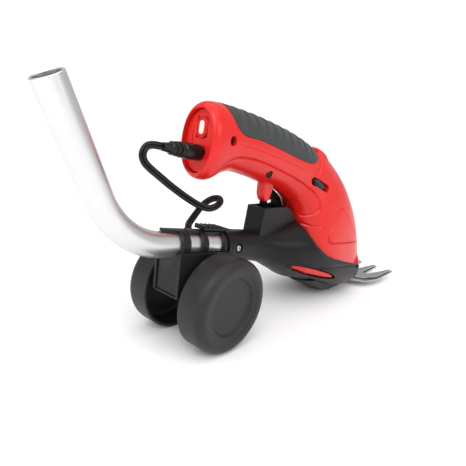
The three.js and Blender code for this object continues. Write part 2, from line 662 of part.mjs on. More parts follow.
const GROMMET_X = -16;
function buildPole() {
  const [x, , z] = lowerAxis(32);
  return cut(skin(poleRings(TUBE_R, 0)), skin(poleRings(TUBE_R - TUBE_WALL, 5)),
    rod([GROMMET_X, 0, 80], [GROMMET_X, 0, 100], 2.9),
    rod([x, -20, z], [x, -4, z], 1.8));
}

// ---------------------------------------------------------------- cable
const CABLE_R = 1.7;
const CABLE_ROUTE = [
  [-16, 0, 92.1], [-15.6, 0.2, 94.4], [-12.2, 1.4, 96.8], [-4.8, 4.4, 100.6], [4.4, 7.6, 105.0],
  [11.4, 8.8, 108.6], [16.2, 5.6, 111.8], [16.8, -0.6, 112.4], [12.4, -6.2, 110.6],
  [4.0, -8.9, 108.2], [-6, -9.4, 107.8], [-17.6, -8.2, 112.0], [-30.4, -6.2, 118.7],
  [-42.3, -4.4, 125.7], [-53.0, -3.0, 131.8], [-59.9, -2.2, 135.7], [-63.0, -1.7, 138.8],
  [-64.1, -1.3, 143.0], [-63.0, -1.1, 147.2], [-59.9, -1, 150.3], [-55.7, -1, 151.4],
  [-51.6, -1, 151.1], [-47.7, -1, 150.8],
];

function buildCable() {
  const route = new THREE.CatmullRomCurve3(
    CABLE_ROUTE.map((point) => new THREE.Vector3(...point)), false, 'centripetal');
  const section = new THREE.Shape();
  section.absarc(0, 0, CABLE_R, 0, 2 * Math.PI, false);
  return new THREE.ExtrudeGeometry(new THREE.Shape(section.getPoints(4).slice(0, -1)), {
    steps: 52, bevelEnabled: false, extrudePath: route });
}

function buildGrommet() {
  return joined(
    rod([GROMMET_X, 0, 83], [GROMMET_X, 0, 89.4], 2.5),
    rod([GROMMET_X, 0, 89.2], [GROMMET_X, 0, 91.8], 3.5, 2.6));
}

function buildPlug() {
  const outline = [[0, -6], [2.3, -6], [2.3, 0.4], [5.4, 0.4], [5.8, 1.4], [5.8, 15], [5.0, 16.2],
    [5.0, 17.2], [5.6, 17.6], [5.6, 19.6], [4.5, 20], [4.5, 21], [5.2, 21.4], [5.2, 23.4],
    [4.2, 23.8], [4.2, 24.8], [4.8, 25.2], [4.8, 27.2], [3.8, 27.8], [3.2, 34], [0, 34]];
  const points = outline.map(([radius, distance]) => new THREE.Vector2(radius, distance));
  const geometry = new THREE.LatheGeometry(points, 14);
  geometry.applyQuaternion(new THREE.Quaternion().setFromUnitVectors(
    new THREE.Vector3(0, 1, 0), PLUG_AXIS));
  return toSolid(geometry.translate(...PLUG_FRONT.toArray()));
}

// ---------------------------------------------------------------- the object
const [housingRight, housingLeft] = buildHousings();
addPiece('housing_right', housingRight, 'red');
addPiece('housing_left', housingLeft, 'red');
addPiece('soft_grip', buildGrip(), 'rubber');
addPiece('rear_plate', buildRearPlate(), 'red');
addPiece('rear_badge', buildRearBadge(), 'white');
addPiece('status_lens', rod(lampPoint(0), lampPoint(17.6), 3.4), 'lamp');
for (const name of Object.keys(SCREWS)) addPiece(`housing_screw_${name}`, buildScrew(name), 'steel');

addPiece('charge_socket', buildChargeSocket(), 'black');
addPiece('battery_cell', buildCell(), 'cell');
addPiece('battery_tray', buildTray(), 'black');
addPiece('circuit_board', buildBoard(), 'board');
addPiece('trigger', buildTrigger(), 'red');
addPiece('trigger_spring', buildTriggerSpring(), 'steel');
addPiece('trigger_switch', buildSwitch(), 'black');
addPiece('lockout_button', buildLockoutButton(), 'black');

addPiece('motor', buildMotor(), 'steel');
addPiece('motor_pinion', buildPinion(), 'brass');
addPiece('drive_gear', buildDriveGear(), 'white');
addPiece('eccentric_shaft', buildShaft(), 'steel');
addPiece('gear_plate', buildGearPlate(), 'black');

addPiece('blade_base', buildBladeBase(), 'black');
addPiece('comb_blade', buildComb(), 'steel');
addPiece('cutter_blade', buildCutter(), 'steel');
addPiece('blade_pivot', buildPivot(), 'steel');
addPiece('blade_rivet_right', buildRivet(-RIVET_Y), 'steel');
addPiece('blade_rivet_left', buildRivet(RIVET_Y), 'steel');

addPiece('carriage_body', buildCarriage(), 'black');
addPiece('release_lever_right', buildLever(-1), 'red');
addPiece('release_lever_left', buildLever(1), 'red');
addPiece('pole_screw', buildPoleScrew(), 'steel');
addPiece('wheel_bracket', buildBracket(), 'black');
addPiece('bracket_clip', buildClip(), 'black');
addPiece('axle', buildAxle(), 'steel');
for (const [name, side] of [['right', -1], ['left', 1]]) {
  addPiece(`axle_clip_${name}`, buildAxleClip(side), 'steel');
  addPiece(`wheel_${name}`, buildWheel(side), 'wheel');
}
addPiece('pole_tube', buildPole(), 'aluminium');
addPiece('cable_grommet', buildGrommet(), 'rubber');
addPiece('cable_plug', buildPlug(), 'black');
addPiece('cable', buildCable(), 'black');

export default model;
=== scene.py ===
"""Cordless grass shears clipped into a two-wheeled guide carriage on a bent aluminium pole.

Pieces are modelled in millimetres measured from the foot of the wheel axle (X forward, Y left,
Z up) and moved into the CAD model's frame, in metres, when they are finished.
"""

import json
import math
import bmesh
import bpy
import numpy as np
from mathutils import Matrix, Vector


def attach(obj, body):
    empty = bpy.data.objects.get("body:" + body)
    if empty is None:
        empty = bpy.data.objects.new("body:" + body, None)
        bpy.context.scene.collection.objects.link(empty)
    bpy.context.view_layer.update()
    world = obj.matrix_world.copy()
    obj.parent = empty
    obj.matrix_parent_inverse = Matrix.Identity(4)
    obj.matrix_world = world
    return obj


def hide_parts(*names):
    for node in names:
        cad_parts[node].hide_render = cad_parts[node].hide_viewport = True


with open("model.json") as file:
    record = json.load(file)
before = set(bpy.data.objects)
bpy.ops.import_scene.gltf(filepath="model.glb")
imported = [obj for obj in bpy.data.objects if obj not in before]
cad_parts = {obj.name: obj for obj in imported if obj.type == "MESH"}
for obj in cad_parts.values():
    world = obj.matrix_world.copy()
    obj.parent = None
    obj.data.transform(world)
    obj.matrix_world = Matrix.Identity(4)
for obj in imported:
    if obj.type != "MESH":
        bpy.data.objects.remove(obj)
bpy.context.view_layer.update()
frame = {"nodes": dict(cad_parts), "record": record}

MM = 0.001
CENTRE_X = 89.9          # middle of the object along X, from the axle
GAP = 0.3                # clearance between pieces
WHEEL_R = 37.5
TUBE_R = 9.5
TUBE_WALL = 1.5
TUBE_HEIGHT = 76.5
TUBE_SLOPE = math.radians(8.1)


def at(x, y, z):
    """A point of the millimetre drawing in the row frame."""
    return Vector(((x - CENTRE_X) * MM, y * MM, z * MM))


# ------------------------------------------------------------------ camera, floor and light
def make_camera():
    right = Vector((0.65487, -0.74687, 0.11547))
    up = Vector((0.11766, 0.25168, 0.96063))
    back = Vector((-0.74653, -0.61550, 0.25269))
    camera = bpy.data.objects.new("camera", bpy.data.cameras.new("camera"))
    bpy.context.scene.collection.objects.link(camera)
    turn = Matrix((right, up, back)).transposed().to_4x4()
    camera.matrix_world = Matrix.Translation(at(-239.93, -228.0, 174.83)) @ turn
    camera.data.sensor_width = 36
    camera.data.lens = 34.22
    camera.data.clip_start = 0.01
    bpy.context.scene.camera = camera


def area_light(name, place, target, size, power, colour=(1, 1, 1)):
    light = bpy.data.lights.new(name, "AREA")
    light.shape, light.size, light.energy, light.color = "DISK", size, power, colour
    obj = bpy.data.objects.new(name, light)
    obj.location = place
    obj.rotation_mode = "QUATERNION"
    obj.rotation_quaternion = (Vector(target) - Vector(place)).to_track_quat("-Z", "Y")
    bpy.context.scene.collection.objects.link(obj)


def make_stage():
    world = bpy.data.worlds.new("studio")
    bpy.context.scene.world = world
    world.use_nodes = True
    nodes, links = world.node_tree.nodes, world.node_tree.links
    nodes.clear()
    output = nodes.new("ShaderNodeOutputWorld")
    mix = nodes.new("ShaderNodeMixShader")
    path = nodes.new("ShaderNodeLightPath")
    fill = nodes.new("ShaderNodeBackground")
    fill.inputs["Color"].default_value = (1, 1, 1, 1)
    fill.inputs["Strength"].default_value = 0.58
    seen = nodes.new("ShaderNodeBackground")
    seen.inputs["Color"].default_value = (1, 1, 1, 1)
    seen.inputs["Strength"].default_value = 1.05
    links.new(path.outputs["Is Camera Ray"], mix.inputs[0])
    links.new(fill.outputs[0], mix.inputs[1])
    links.new(seen.outputs[0], mix.inputs[2])
    links.new(mix.outputs[0], output.inputs[0])

    mesh = bpy.data.meshes.new("floor")
    size = 12
    mesh.from_pydata([(-size, -size, 0), (size, -size, 0), (size, size, 0), (-size, size, 0)],
                     [], [(0, 1, 2, 3)])
    floor = bpy.data.objects.new("floor", mesh)
    floor.location.z = -0.0002
    bpy.context.scene.collection.objects.link(floor)
    paper = bpy.data.materials.new("paper")
    paper.use_nodes = True
    shader = paper.node_tree.nodes["Principled BSDF"]
    shader.inputs["Base Color"].default_value = (0.97, 0.97, 0.975, 1)
    shader.inputs["Roughness"].default_value = 0.9
    shader.inputs["Specular IOR Level"].default_value = 0.1
    mesh.materials.append(paper)

    sun = bpy.data.objects.new("sky", bpy.data.lights.new("sky", "SUN"))
    sun.data.energy, sun.data.angle = 1.75, math.radians(100)
    sun.rotation_euler = (math.radians(14), math.radians(-20), 0)
    bpy.context.scene.collection.objects.link(sun)
    area_light("key", (-0.9, -0.5, 1.1), (0.0, 0.0, 0.05), 0.7, 5)
    area_light("rear_fill", (-1.2, 0.35, 0.5), (0.0, 0.0, 0.08), 0.6, 1.6)
    area_light("side_strip", (0.35, -1.2, 0.6), (0.05, 0.0, 0.08), 0.5, 2.0)
    scene = bpy.context.scene
    scene.view_settings.view_transform = "Standard"
    scene.view_settings.look = "None"


make_camera()
make_stage()


# ------------------------------------------------------------------ solids
def new_object(name, vertices, faces):
    mesh = bpy.data.meshes.new(name)
    mesh.from_pydata([tuple(v) for v in vertices], [], faces)
    obj = bpy.data.objects.new(name, mesh)
    bpy.context.scene.collection.objects.link(obj)
    return obj


def drop(obj):
    mesh = obj.data
    bpy.data.objects.remove(obj)
    bpy.data.meshes.remove(mesh)


def apply(obj):
    """Makes the modifiers permanent."""
    made = bpy.data.meshes.new_from_object(obj.evaluated_get(
        bpy.context.evaluated_depsgraph_get()))
    obj.modifiers.clear()
    old, obj.data = obj.data, made
    bpy.data.meshes.remove(old)
    return obj


def combine(target, operation, *tools):
    for tool in tools:
        modifier = target.modifiers.new("solid", "BOOLEAN")
        modifier.operation, modifier.solver = operation, "MANIFOLD"
        modifier.object = tool
    apply(target)
    for tool in tools:
        drop(tool)
    return target


def cut(target, *tools):
    return combine(target, "DIFFERENCE", *tools)


def join(target, *tools):
    return combine(target, "UNION", *tools)


def common(target, *tools):
    return combine(target, "INTERSECT", *tools)


def twin(obj):
    other = bpy.data.objects.new("twin", obj.data.copy())
    bpy.context.scene.collection.objects.link(other)
    return other


def rounded(obj, width, segments=2, angle=30):
    modifier = obj.modifiers.new("edge", "BEVEL")
    modifier.width, modifier.segments = width, segments
    modifier.limit_method, modifier.angle_limit = "ANGLE", math.radians(angle)
    modifier.use_clamp_overlap = True
    return apply(obj)


def skin(rings, name="solid", closed=False):
    """A solid through rings of the same number of points; closed joins the last to the first."""
    sides = len(rings[0])
    vertices = np.concatenate(rings)
    faces = []
    for r in range(len(rings) if closed else len(rings) - 1):
        a, b = r * sides, (r + 1) % len(rings) * sides
        faces += [(a + i, a + (i + 1) % sides, b + (i + 1) % sides, b + i)
                  for i in range(sides)]
    if not closed:
        faces.append(tuple(reversed(range(sides))))
        last = (len(rings) - 1) * sides
        faces.append(tuple(range(last, last + sides)))
    obj = new_object(name, vertices, faces)
    outward(obj)
    return obj


def outward(obj):
    bm = bmesh.new()
    bm.from_mesh(obj.data)
    bmesh.ops.recalc_face_normals(bm, faces=bm.faces)
    if bm.calc_volume(signed=True) < 0:
        bmesh.ops.reverse_faces(bm, faces=bm.faces)
    bm.to_mesh(obj.data)
    bm.free()


def prism(outline, low, high, plane="xz"):
    """An outline in the X-Z or X-Y plane, extruded along the third axis."""
    order = {"xz": lambda a, b, c: (a, c, b), "xy": lambda a, b, c: (a, b, c)}[plane]
    ring = [[order(a, b, level) for a, b in outline] for level in (low, high)]
    return skin([np.array(r, float) for r in ring], "prism")


def block(x, y, z, edge=0.0):
    solid = prism([(x[0], z[0]), (x[1], z[0]), (x[1], z[1]), (x[0], z[1])], *y)
    return rounded(solid, edge) if edge else solid


def basis(axis):
    axis = np.array(axis, float) / np.linalg.norm(axis)
    side = np.cross(axis, (0, 0, 1) if abs(axis[2]) < 0.9 else (0, 1, 0))
    side /= np.linalg.norm(side)
    return axis, side, np.cross(axis, side)


def lathe(profile, origin, axis, sides=64):
    """A solid of revolution; profile lists (distance from the axis, distance along it)."""
    axis, side, other = basis(axis)
    angles = np.linspace(0, 2 * np.pi, sides, endpoint=False)
    circle = np.outer(np.cos(angles), side) + np.outer(np.sin(angles), other)
    inside = [k for k, (radius, _) in enumerate(profile) if radius < 1e-6]
    vertices, rows = [], []
    for k, (radius, along) in enumerate(profile):
        centre = np.array(origin, float) + axis * along
        if k in inside:
            rows.append([len(vertices)] * sides)
            vertices.append(centre)
        else:
            rows.append(list(range(len(vertices), len(vertices) + sides)))
            vertices += list(centre + radius * circle)
    faces = []
    rows_closed = rows if inside else rows + [rows[0]]
    for low, high in zip(rows_closed, rows_closed[1:]):
        for i in range(sides):
            j = (i + 1) % sides
            face = [low[i], low[j], high[j], high[i]]
            face = list(dict.fromkeys(face))
            if len(face) > 2:
                faces.append(tuple(face))
    obj = new_object("lathe", vertices, faces)
    outward(obj)
    return obj


def rod(start, end, radius, end_radius=None, sides=48):
    start, end = np.array(start, float), np.array(end, float)
    long = float(np.linalg.norm(end - start))
    last = radius if end_radius is None else end_radius
    return lathe([(0, 0), (radius, 0), (last, long), (0, long)], start, end - start, sides)


def arc(centre, radius, start, end, steps=12):
    """Points of a circle's arc in a plane, from one angle to another, in degrees."""
    return [(centre[0] + radius * math.cos(math.radians(a)),
             centre[1] + radius * math.sin(math.radians(a)))
            for a in np.linspace(start, end, steps + 1)]


def turned(points, centre, slope):
    c, s = math.cos(slope), math.sin(slope)
    return [(centre[0] + x * c - z * s, centre[1] + x * s + z * c) for x, z in points]


def oblong(centre, length, width, slope, steps=12):
    half = (length - width) / 2
    points = arc((half, 0), width / 2, -90, 90, steps) + arc((-half, 0), width / 2, 90, 270, steps)
    return turned(points, centre, slope)


def oval(centre, half_long, half_high, slope, steps=48):
    points = [(half_long * math.cos(a), half_high * math.sin(a))
              for a in np.linspace(0, 2 * np.pi, steps, endpoint=False)]
    return turned(points, centre, slope)


# ------------------------------------------------------------------ lofted bodies
def on_curve(rows, i, t):
    """The point a share t of the way from row i to the next, on a Catmull-Rom curve."""
    last = len(rows) - 1
    p0, p1, p2, p3 = (rows[min(max(j, 0), last)] for j in (i - 1, i, i + 1, i + 2))
    return p1 + 0.5 * t * (p2 - p0 + t * (2 * p0 - 5 * p1 + 4 * p2 - p3
                                          + t * (3 * (p1 - p2) + p3 - p0)))


def smooth_ribs(ribs, between):
    """Ribs with extra ones between them."""
    ribs = np.array(ribs, float)
    last = len(ribs) - 1
    rows = []
    for k in range(last * between + 1):
        i = min(k // between, last - 1)
        rows.append(on_curve(ribs, i, k / between - i))
    return np.array(rows)


def oval_ring(rib, inset, sides):
    """A squared oval through a top and a bottom point, evenly spaced from the top round."""
    top_x, top_z, low_x, low_z, half_width, power = rib
    up = np.array([top_x - low_x, 0, top_z - low_z], float)
    tall = np.linalg.norm(up) / 2 - inset
    up /= np.linalg.norm(up)
    a = np.linspace(0.5 * np.pi, 2.5 * np.pi, 721)
    c, s = np.cos(a), np.sin(a)
    y = np.sign(c) * np.abs(c) ** (2 / power) * (half_width - inset)
    h = np.sign(s) * np.abs(s) ** (2 / power) * tall
    run = np.concatenate([[0], np.cumsum(np.hypot(np.diff(y), np.diff(h)))])
    even = np.linspace(0, run[-1], sides, endpoint=False)
    y, h = np.interp(even, run, y), np.interp(even, run, h)
    middle = np.array([(top_x + low_x) / 2, 0, (top_z + low_z) / 2])
    ring = middle + np.outer(h, up)
    ring[:, 1] = y
    return ring


def loft(ribs, inset=0.0, between=4, sides=64, relief=None):
    """A smooth solid through its ribs; relief(points, normals) says how far out each point is."""
    rings = np.array([oval_ring(rib, inset, sides) for rib in smooth_ribs(ribs, between)])
    if relief is not None:
        along = np.gradient(rings, axis=0)
        round_it = np.roll(rings, -1, axis=1) - np.roll(rings, 1, axis=1)
        normals = np.cross(round_it, along)
        normals /= np.maximum(np.linalg.norm(normals, axis=2, keepdims=True), 1e-9)
        middle = rings.mean(axis=1, keepdims=True)
        normals *= np.sign(((rings - middle) * normals).sum(2).mean())
        flat = rings.reshape(-1, 3)
        out = relief(flat, normals.reshape(-1, 3)).reshape(rings.shape[:2])
        out[0], out[-1] = 0, 0
        rings = rings + normals * out[:, :, None]
    return skin(list(rings), "loft")


def step(value, low, high):
    t = np.clip((value - low) / (high - low), 0, 1)
    return t * t * (3 - 2 * t)


def to_line(points, line, closed=False):
    """Distance in the side view from points to a line through (x, z) pairs."""
    line = [np.array(p, float) for p in line]
    pairs = list(zip(line, line[1:] + line[:1])) if closed else list(zip(line, line[1:]))
    flat = points[:, [0, 2]]
    best = np.full(len(flat), 1e9)
    for a, b in pairs:
        d = b - a
        t = np.clip((flat - a) @ d / (d @ d), 0, 1)
        best = np.minimum(best, np.linalg.norm(flat - a - t[:, None] * d, axis=1))
    return best


def inside(points, outline):
    """Whether points lie within an (x, z) outline in the side view."""
    x, z = points[:, 0], points[:, 2]
    within = np.zeros(len(points), bool)
    for (ax, az), (bx, bz) in zip(outline, outline[1:] + outline[:1]):
        crosses = (az > z) != (bz > z)
        edge = ax + (z - az) * (bx - ax) / (bz - az if bz != az else 1e-9)
        within ^= crosses & (x < edge)
    return within


def curve_through(points, per=8):
    """A smooth line through (x, z) points."""
    p = np.array(points, float)
    rows = []
    for i in range(len(p) - 1):
        rows += [on_curve(p, i, t) for t in np.arange(per) / per]
    rows.append(p[-1])
    return [tuple(r) for r in rows]


# ------------------------------------------------------------------ materials
def material(name, colour, rough, metal=0.0, grain=900.0, bump=0.02, mottle=0.06,
             coat=0.0, coat_rough=0.1, brushed=None, specular=0.5, sheen=0.0, edge_highlight=0.0):
    """Moulded plastic, rubber or metal: mottled colour, uneven gloss, fine grain in the surface.

    brushed is the direction of fine scratches; the last argument paints a highlight on the sharp edges, a
    lighter colour where the surface is pointy."""
    made = bpy.data.materials.new(name)
    made.use_nodes = True
    tree = made.node_tree
    shader = tree.nodes["Principled BSDF"]
    shader.inputs["Metallic"].default_value = metal
    shader.inputs["Coat Weight"].default_value = coat
    shader.inputs["Coat Roughness"].default_value = coat_rough
    shader.inputs["Specular IOR Level"].default_value = specular
    shader.inputs["Sheen Weight"].default_value = sheen

    def node(kind, **values):
        made_node = tree.nodes.new(kind)
        for key, value in values.items():
            setattr(made_node, key, value)
        return made_node

    place = node("ShaderNodeTexCoord").outputs["Object"]
    if brushed:
        mapping = node("ShaderNodeMapping")
        mapping.inputs["Scale"].default_value = brushed
        tree.links.new(place, mapping.inputs["Vector"])
        fine_place = mapping.outputs["Vector"]
    else:
        fine_place = place
    clouds = node("ShaderNodeTexNoise")
    clouds.inputs["Scale"].default_value = 42
    clouds.inputs["Detail"].default_value = 5
    tree.links.new(place, clouds.inputs["Vector"])
    fine = node("ShaderNodeTexNoise")
    fine.inputs["Scale"].default_value = grain
    fine.inputs["Detail"].default_value = 3
    tree.links.new(fine_place, fine.inputs["Vector"])

    tint = node("ShaderNodeMix", data_type="RGBA", blend_type="MIX")
    dark = tuple(c * (1 - mottle) for c in colour)
    light = tuple(min(1, c * (1 + mottle) + 0.15 * mottle) for c in colour)
    tint.inputs[6].default_value = (*dark, 1)
    tint.inputs[7].default_value = (*light, 1)
    tree.links.new(clouds.outputs["Fac"], tint.inputs[0])
    colour_out = tint.outputs[2]
    # painted highlight: sharp, pointy edges are mixed towards a lighter colour
    if edge_highlight:
        geometry = node("ShaderNodeNewGeometry")
        edge = node("ShaderNodeMapRange")
        edge.inputs["From Min"].default_value = 0.51
        edge.inputs["From Max"].default_value = 0.60
        edge.inputs["To Max"].default_value = edge_highlight
        tree.links.new(geometry.outputs["Pointiness"], edge.inputs["Value"])
        highlit = node("ShaderNodeMix", data_type="RGBA", blend_type="MIX")
        highlit.inputs[7].default_value = (*(min(1, c * 1.6 + 0.05) for c in colour), 1)
        tree.links.new(edge.outputs["Result"], highlit.inputs[0])
        tree.links.new(colour_out, highlit.inputs[6])
        colour_out = highlit.outputs[2]
    tree.links.new(colour_out, shader.inputs["Base Color"])

    gloss = node("ShaderNodeMapRange")
    gloss.inputs["To Min"].default_value = rough * 0.82
    gloss.inputs["To Max"].default_value = min(1, rough * 1.18)
    tree.links.new((fine if brushed else clouds).outputs["Fac"], gloss.inputs["Value"])
    tree.links.new(gloss.outputs["Result"], shader.inputs["Roughness"])
    relief = node("ShaderNodeBump")
    relief.inputs["Strength"].default_value = 1.0
    relief.inputs["Distance"].default_value = bump * MM
    tree.links.new(fine.outputs["Fac"], relief.inputs["Height"])
    tree.links.new(relief.outputs["Normal"], shader.inputs["Normal"])
    return made


RED = material("red_gloss", (0.66, 0.007, 0.004), 0.30, grain=1500, bump=0.006, mottle=0.05,
               coat=0.12, coat_rough=0.16, specular=0.35)
GRIP = material("soft_grip", (0.020, 0.023, 0.023), 0.60, grain=1800, bump=0.03, mottle=0.12,
                sheen=0.08, specular=0.4)
# black plastic, bracket and wheels get a painted highlight on their sharp edges
BLACK = material("black_plastic", (0.004, 0.004, 0.0044), 0.36, grain=1400, bump=0.02,
                 mottle=0.03, edge_highlight=0.12, specular=0.2)
BRACKET = material("bracket_plastic", (0.005, 0.005, 0.0055), 0.36, grain=1400, bump=0.02,
                   mottle=0.04, edge_highlight=0.2, specular=0.25)
WHEEL = material("wheel_plastic", (0.010, 0.010, 0.011), 0.44, grain=1200, bump=0.03,
                 mottle=0.1, edge_highlight=0.15, specular=0.3)
ALUMINIUM = material("pole_aluminium", (0.74, 0.74, 0.75), 0.34, metal=1.0, grain=900,
                     bump=0.004, mottle=0.03, brushed=(0.5, 6, 6))
STEEL = material("steel", (0.55, 0.56, 0.58), 0.30, metal=1.0, grain=900, bump=0.004,
                 mottle=0.05)
DARK_STEEL = material("dark_steel", (0.03, 0.024, 0.024), 0.42, metal=1.0, grain=900,
                      bump=0.006, mottle=0.1)
BLADE = material("blade_steel", (0.40, 0.41, 0.42), 0.26, metal=1.0, grain=700, bump=0.006,
                 mottle=0.05, brushed=(0.6, 7, 7))
JACKET = material("cable_jacket", (0.003, 0.003, 0.0033), 0.30, grain=1500, bump=0.02,
                  mottle=0.03, specular=0.3)
WHITE = material("badge", (0.80, 0.79, 0.76), 0.35, grain=1200, bump=0.006, mottle=0.03,
                 coat=0.3)
LAMP = material("lamp", (0.10, 0.006, 0.006), 0.08, grain=600, bump=0.002, mottle=0.2,
                coat=1.0, coat_rough=0.03, specular=0.7)
BRASS = material("brass", (0.60, 0.42, 0.16), 0.32, metal=1.0, grain=900, bump=0.006)
NYLON = material("gear_nylon", (0.72, 0.70, 0.62), 0.45, grain=900, bump=0.02, mottle=0.08)
BOARD = material("board", (0.015, 0.12, 0.045), 0.40, grain=500, bump=0.03, mottle=0.25,
                 coat=0.4)
CELL = material("cell_wrap", (0.03, 0.10, 0.36), 0.30, grain=900, bump=0.008, mottle=0.08,
                coat=0.4)

SLOT_FINISH = {
    "red_shell": RED, "soft_grip": GRIP, "badge": WHITE, "lens": LAMP, "black_plastic": BLACK,
    "cell_wrap": CELL, "board": BOARD, "gear_nylon": NYLON, "brass": BRASS, "steel": STEEL,
    "blade_steel": BLADE, "wheel_plastic": WHEEL, "pole_aluminium": ALUMINIUM,
    "cable_jacket": JACKET,
}


def finish_cad_nodes():
    """Each carried-over CAD node gets its slot's procedural finish."""
    for part in frame["record"]["subparts"]:
        node = frame["nodes"][part["node"]]
        node.data.materials.clear()
        node.data.materials.append(SLOT_FINISH[part["material_slot"]])


finish_cad_nodes()
BODY_OF = {node: body for body, nodes in frame["record"]["behaviour"]["bodies"].items()
           for node in nodes}
SLOT_OF = {part["node"]: part["material_slot"] for part in frame["record"]["subparts"]}


def piece(obj, name, node, finish=None, smooth=35, stands_for=True):
    """Moves a finished solid into the row frame as the piece that shows in place of a node."""
    obj.name = obj.data.name = name
    obj.data.transform(Matrix.Scale(MM, 4) @ Matrix.Translation((-CENTRE_X, 0, 0)))
    obj.data.materials.clear()
    obj.data.materials.append(finish or SLOT_FINISH[SLOT_OF[node]])
    obj.data.shade_smooth()
    obj.data.set_sharp_from_angle(angle=math.radians(smooth))
    normals = obj.modifiers.new("normals", "WEIGHTED_NORMAL")
    normals.keep_sharp = True
    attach(obj, BODY_OF[node])
    if stands_for:
        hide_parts(node)
    return obj


# ------------------------------------------------------------------ cable
CABLE_ROUTE = [
    (-16, 0, 92.1), (-15.6, 0.2, 94.4), (-12.2, 1.4, 96.8), (-4.8, 4.4, 100.6),
    (2.8, 7, 104.6), (8.6, 7.8, 107.8), (12.6, 5.2, 110.8), (13.4, -0.6, 112.2),
    (9.8, -5.8, 110.8), (2.6, -8.4, 108.4), (-6, -9.2, 107.8), (-16, -8.4, 110.8),
    (-24, -7, 114.9), (-32.1, -5.6, 119.7), (-42.2, -3.9, 126.2), (-47.2, -3.2, 129.7),
    (-52.1, -2.6, 133.1), (-56.8, -2, 136.4), (-60.6, -1.7, 139.6), (-62.3, -1.5, 142),
    (-63, -1.2, 144.9), (-62.1, -1.1, 148.2), (-59.8, -1, 150.5), (-56.5, -1, 151.4),
    (-52.2, -1, 151.3), (-47.7, -1, 150.8),
]
CABLE_WIDTH = 5.2
CABLE_THICK = 2.7


def make_cable():
    """A flat twin lead: two round cores side by side, with its flat side to the right rear."""
    line = np.array(CABLE_ROUTE, float)
    knots = np.concatenate([[0], np.cumsum(
        np.linalg.norm(np.diff(line, axis=0), axis=1) ** 0.5)])
    places = np.linspace(0, knots[-1], 241)
    route = []
    for u in places:
        i = min(max(int(np.searchsorted(knots, u, side="right")) - 1, 0), len(line) - 2)
        p1, p2 = line[i], line[i + 1]
        p0 = line[i - 1] if i else 2 * p1 - p2
        p3 = line[i + 2] if i + 2 < len(line) else 2 * p2 - p1
        t1, t2 = knots[i], knots[i + 1]
        t0 = knots[i - 1] if i else t1 - (t2 - t1)
        t3 = knots[i + 2] if i + 2 < len(line) else t2 + (t2 - t1)
        a1 = (t1 - u) / (t1 - t0) * p0 + (u - t0) / (t1 - t0) * p1
        a2 = (t2 - u) / (t2 - t1) * p1 + (u - t1) / (t2 - t1) * p2
        a3 = (t3 - u) / (t3 - t2) * p2 + (u - t2) / (t3 - t2) * p3
        b1 = (t2 - u) / (t2 - t0) * a1 + (u - t0) / (t2 - t0) * a2
        b2 = (t3 - u) / (t3 - t1) * a2 + (u - t1) / (t3 - t1) * a3
        route.append((t2 - u) / (t2 - t1) * b1 + (u - t1) / (t2 - t1) * b2)
    route = np.array(route)
    tangents = np.gradient(route, axis=0)
    tangents /= np.linalg.norm(tangents, axis=1, keepdims=True)
    core = CABLE_THICK / 2
    apart = CABLE_WIDTH / 2 - core
    waist = math.degrees(math.acos(min(1, apart / core))) * 0.92
    section = (arc((apart, 0), core, -180 + waist, 180 - waist, 14)
               + arc((-apart, 0), core, waist, 360 - waist, 14))
    faces = np.array([-0.75, -0.62, 0.25])      # the way its flat side looks
    rings = []
    for centre, tangent in zip(route, tangents):
        wide = np.cross(tangent, faces)
        wide /= np.linalg.norm(wide)
        thin = np.cross(tangent, wide)
        rings.append(np.array([centre + a * wide + b * thin for a, b in section]))
    cable = piece(skin(rings), "cable_lead", "cable", smooth=60)
    return cable, [tuple(at(*p)) for p in route]


# ------------------------------------------------------------------ plug and grommet
PLUG_FRONT = np.array([-13.4, -1, 147.2])
PLUG_AXIS = np.array([-0.984, 0, 0.1])


def make_plug():
    profile = [(0, -6), (2.1, -6), (2.3, -5.6), (2.3, 0.3), (5.0, 0.3), (5.6, 0.7), (5.8, 1.6),
               (5.8, 14.6), (5.6, 15.6), (5.0, 16.1), (4.7, 16.5), (4.7, 17.0), (5.2, 17.3),
               (5.5, 17.8), (5.5, 19.2), (5.2, 19.7), (4.4, 20.0), (4.3, 20.8), (4.8, 21.1),
               (5.1, 21.6), (5.1, 22.9), (4.8, 23.4), (4.1, 23.7), (4.0, 24.5), (4.4, 24.8),
               (4.7, 25.3), (4.7, 26.6), (4.4, 27.1), (3.7, 27.6), (3.3, 30), (2.9, 33.6),
               (2.4, 34), (0, 34)]
    plug = lathe(profile, PLUG_FRONT, PLUG_AXIS, 48)
    flats = [block((-40, -14.8), (y, y + 4), (138, 158)) for y in (-10.9, 4.9)]
    return piece(cut(plug, *flats), "plug", "cable_plug", JACKET)


def make_grommet():
    profile = [(0, -9), (2.5, -9), (2.5, -2.7), (3.5, -2.6), (3.6, -2.2), (3.4, -1.4),
               (2.9, -0.5), (2.6, -0.2), (0, -0.2)]
    return piece(lathe(profile, (-16, 0, 92), (0, 0, 1), 32), "grommet", "cable_grommet")


cable, cable_path = make_cable()
plug = make_plug()
grommet = make_grommet()


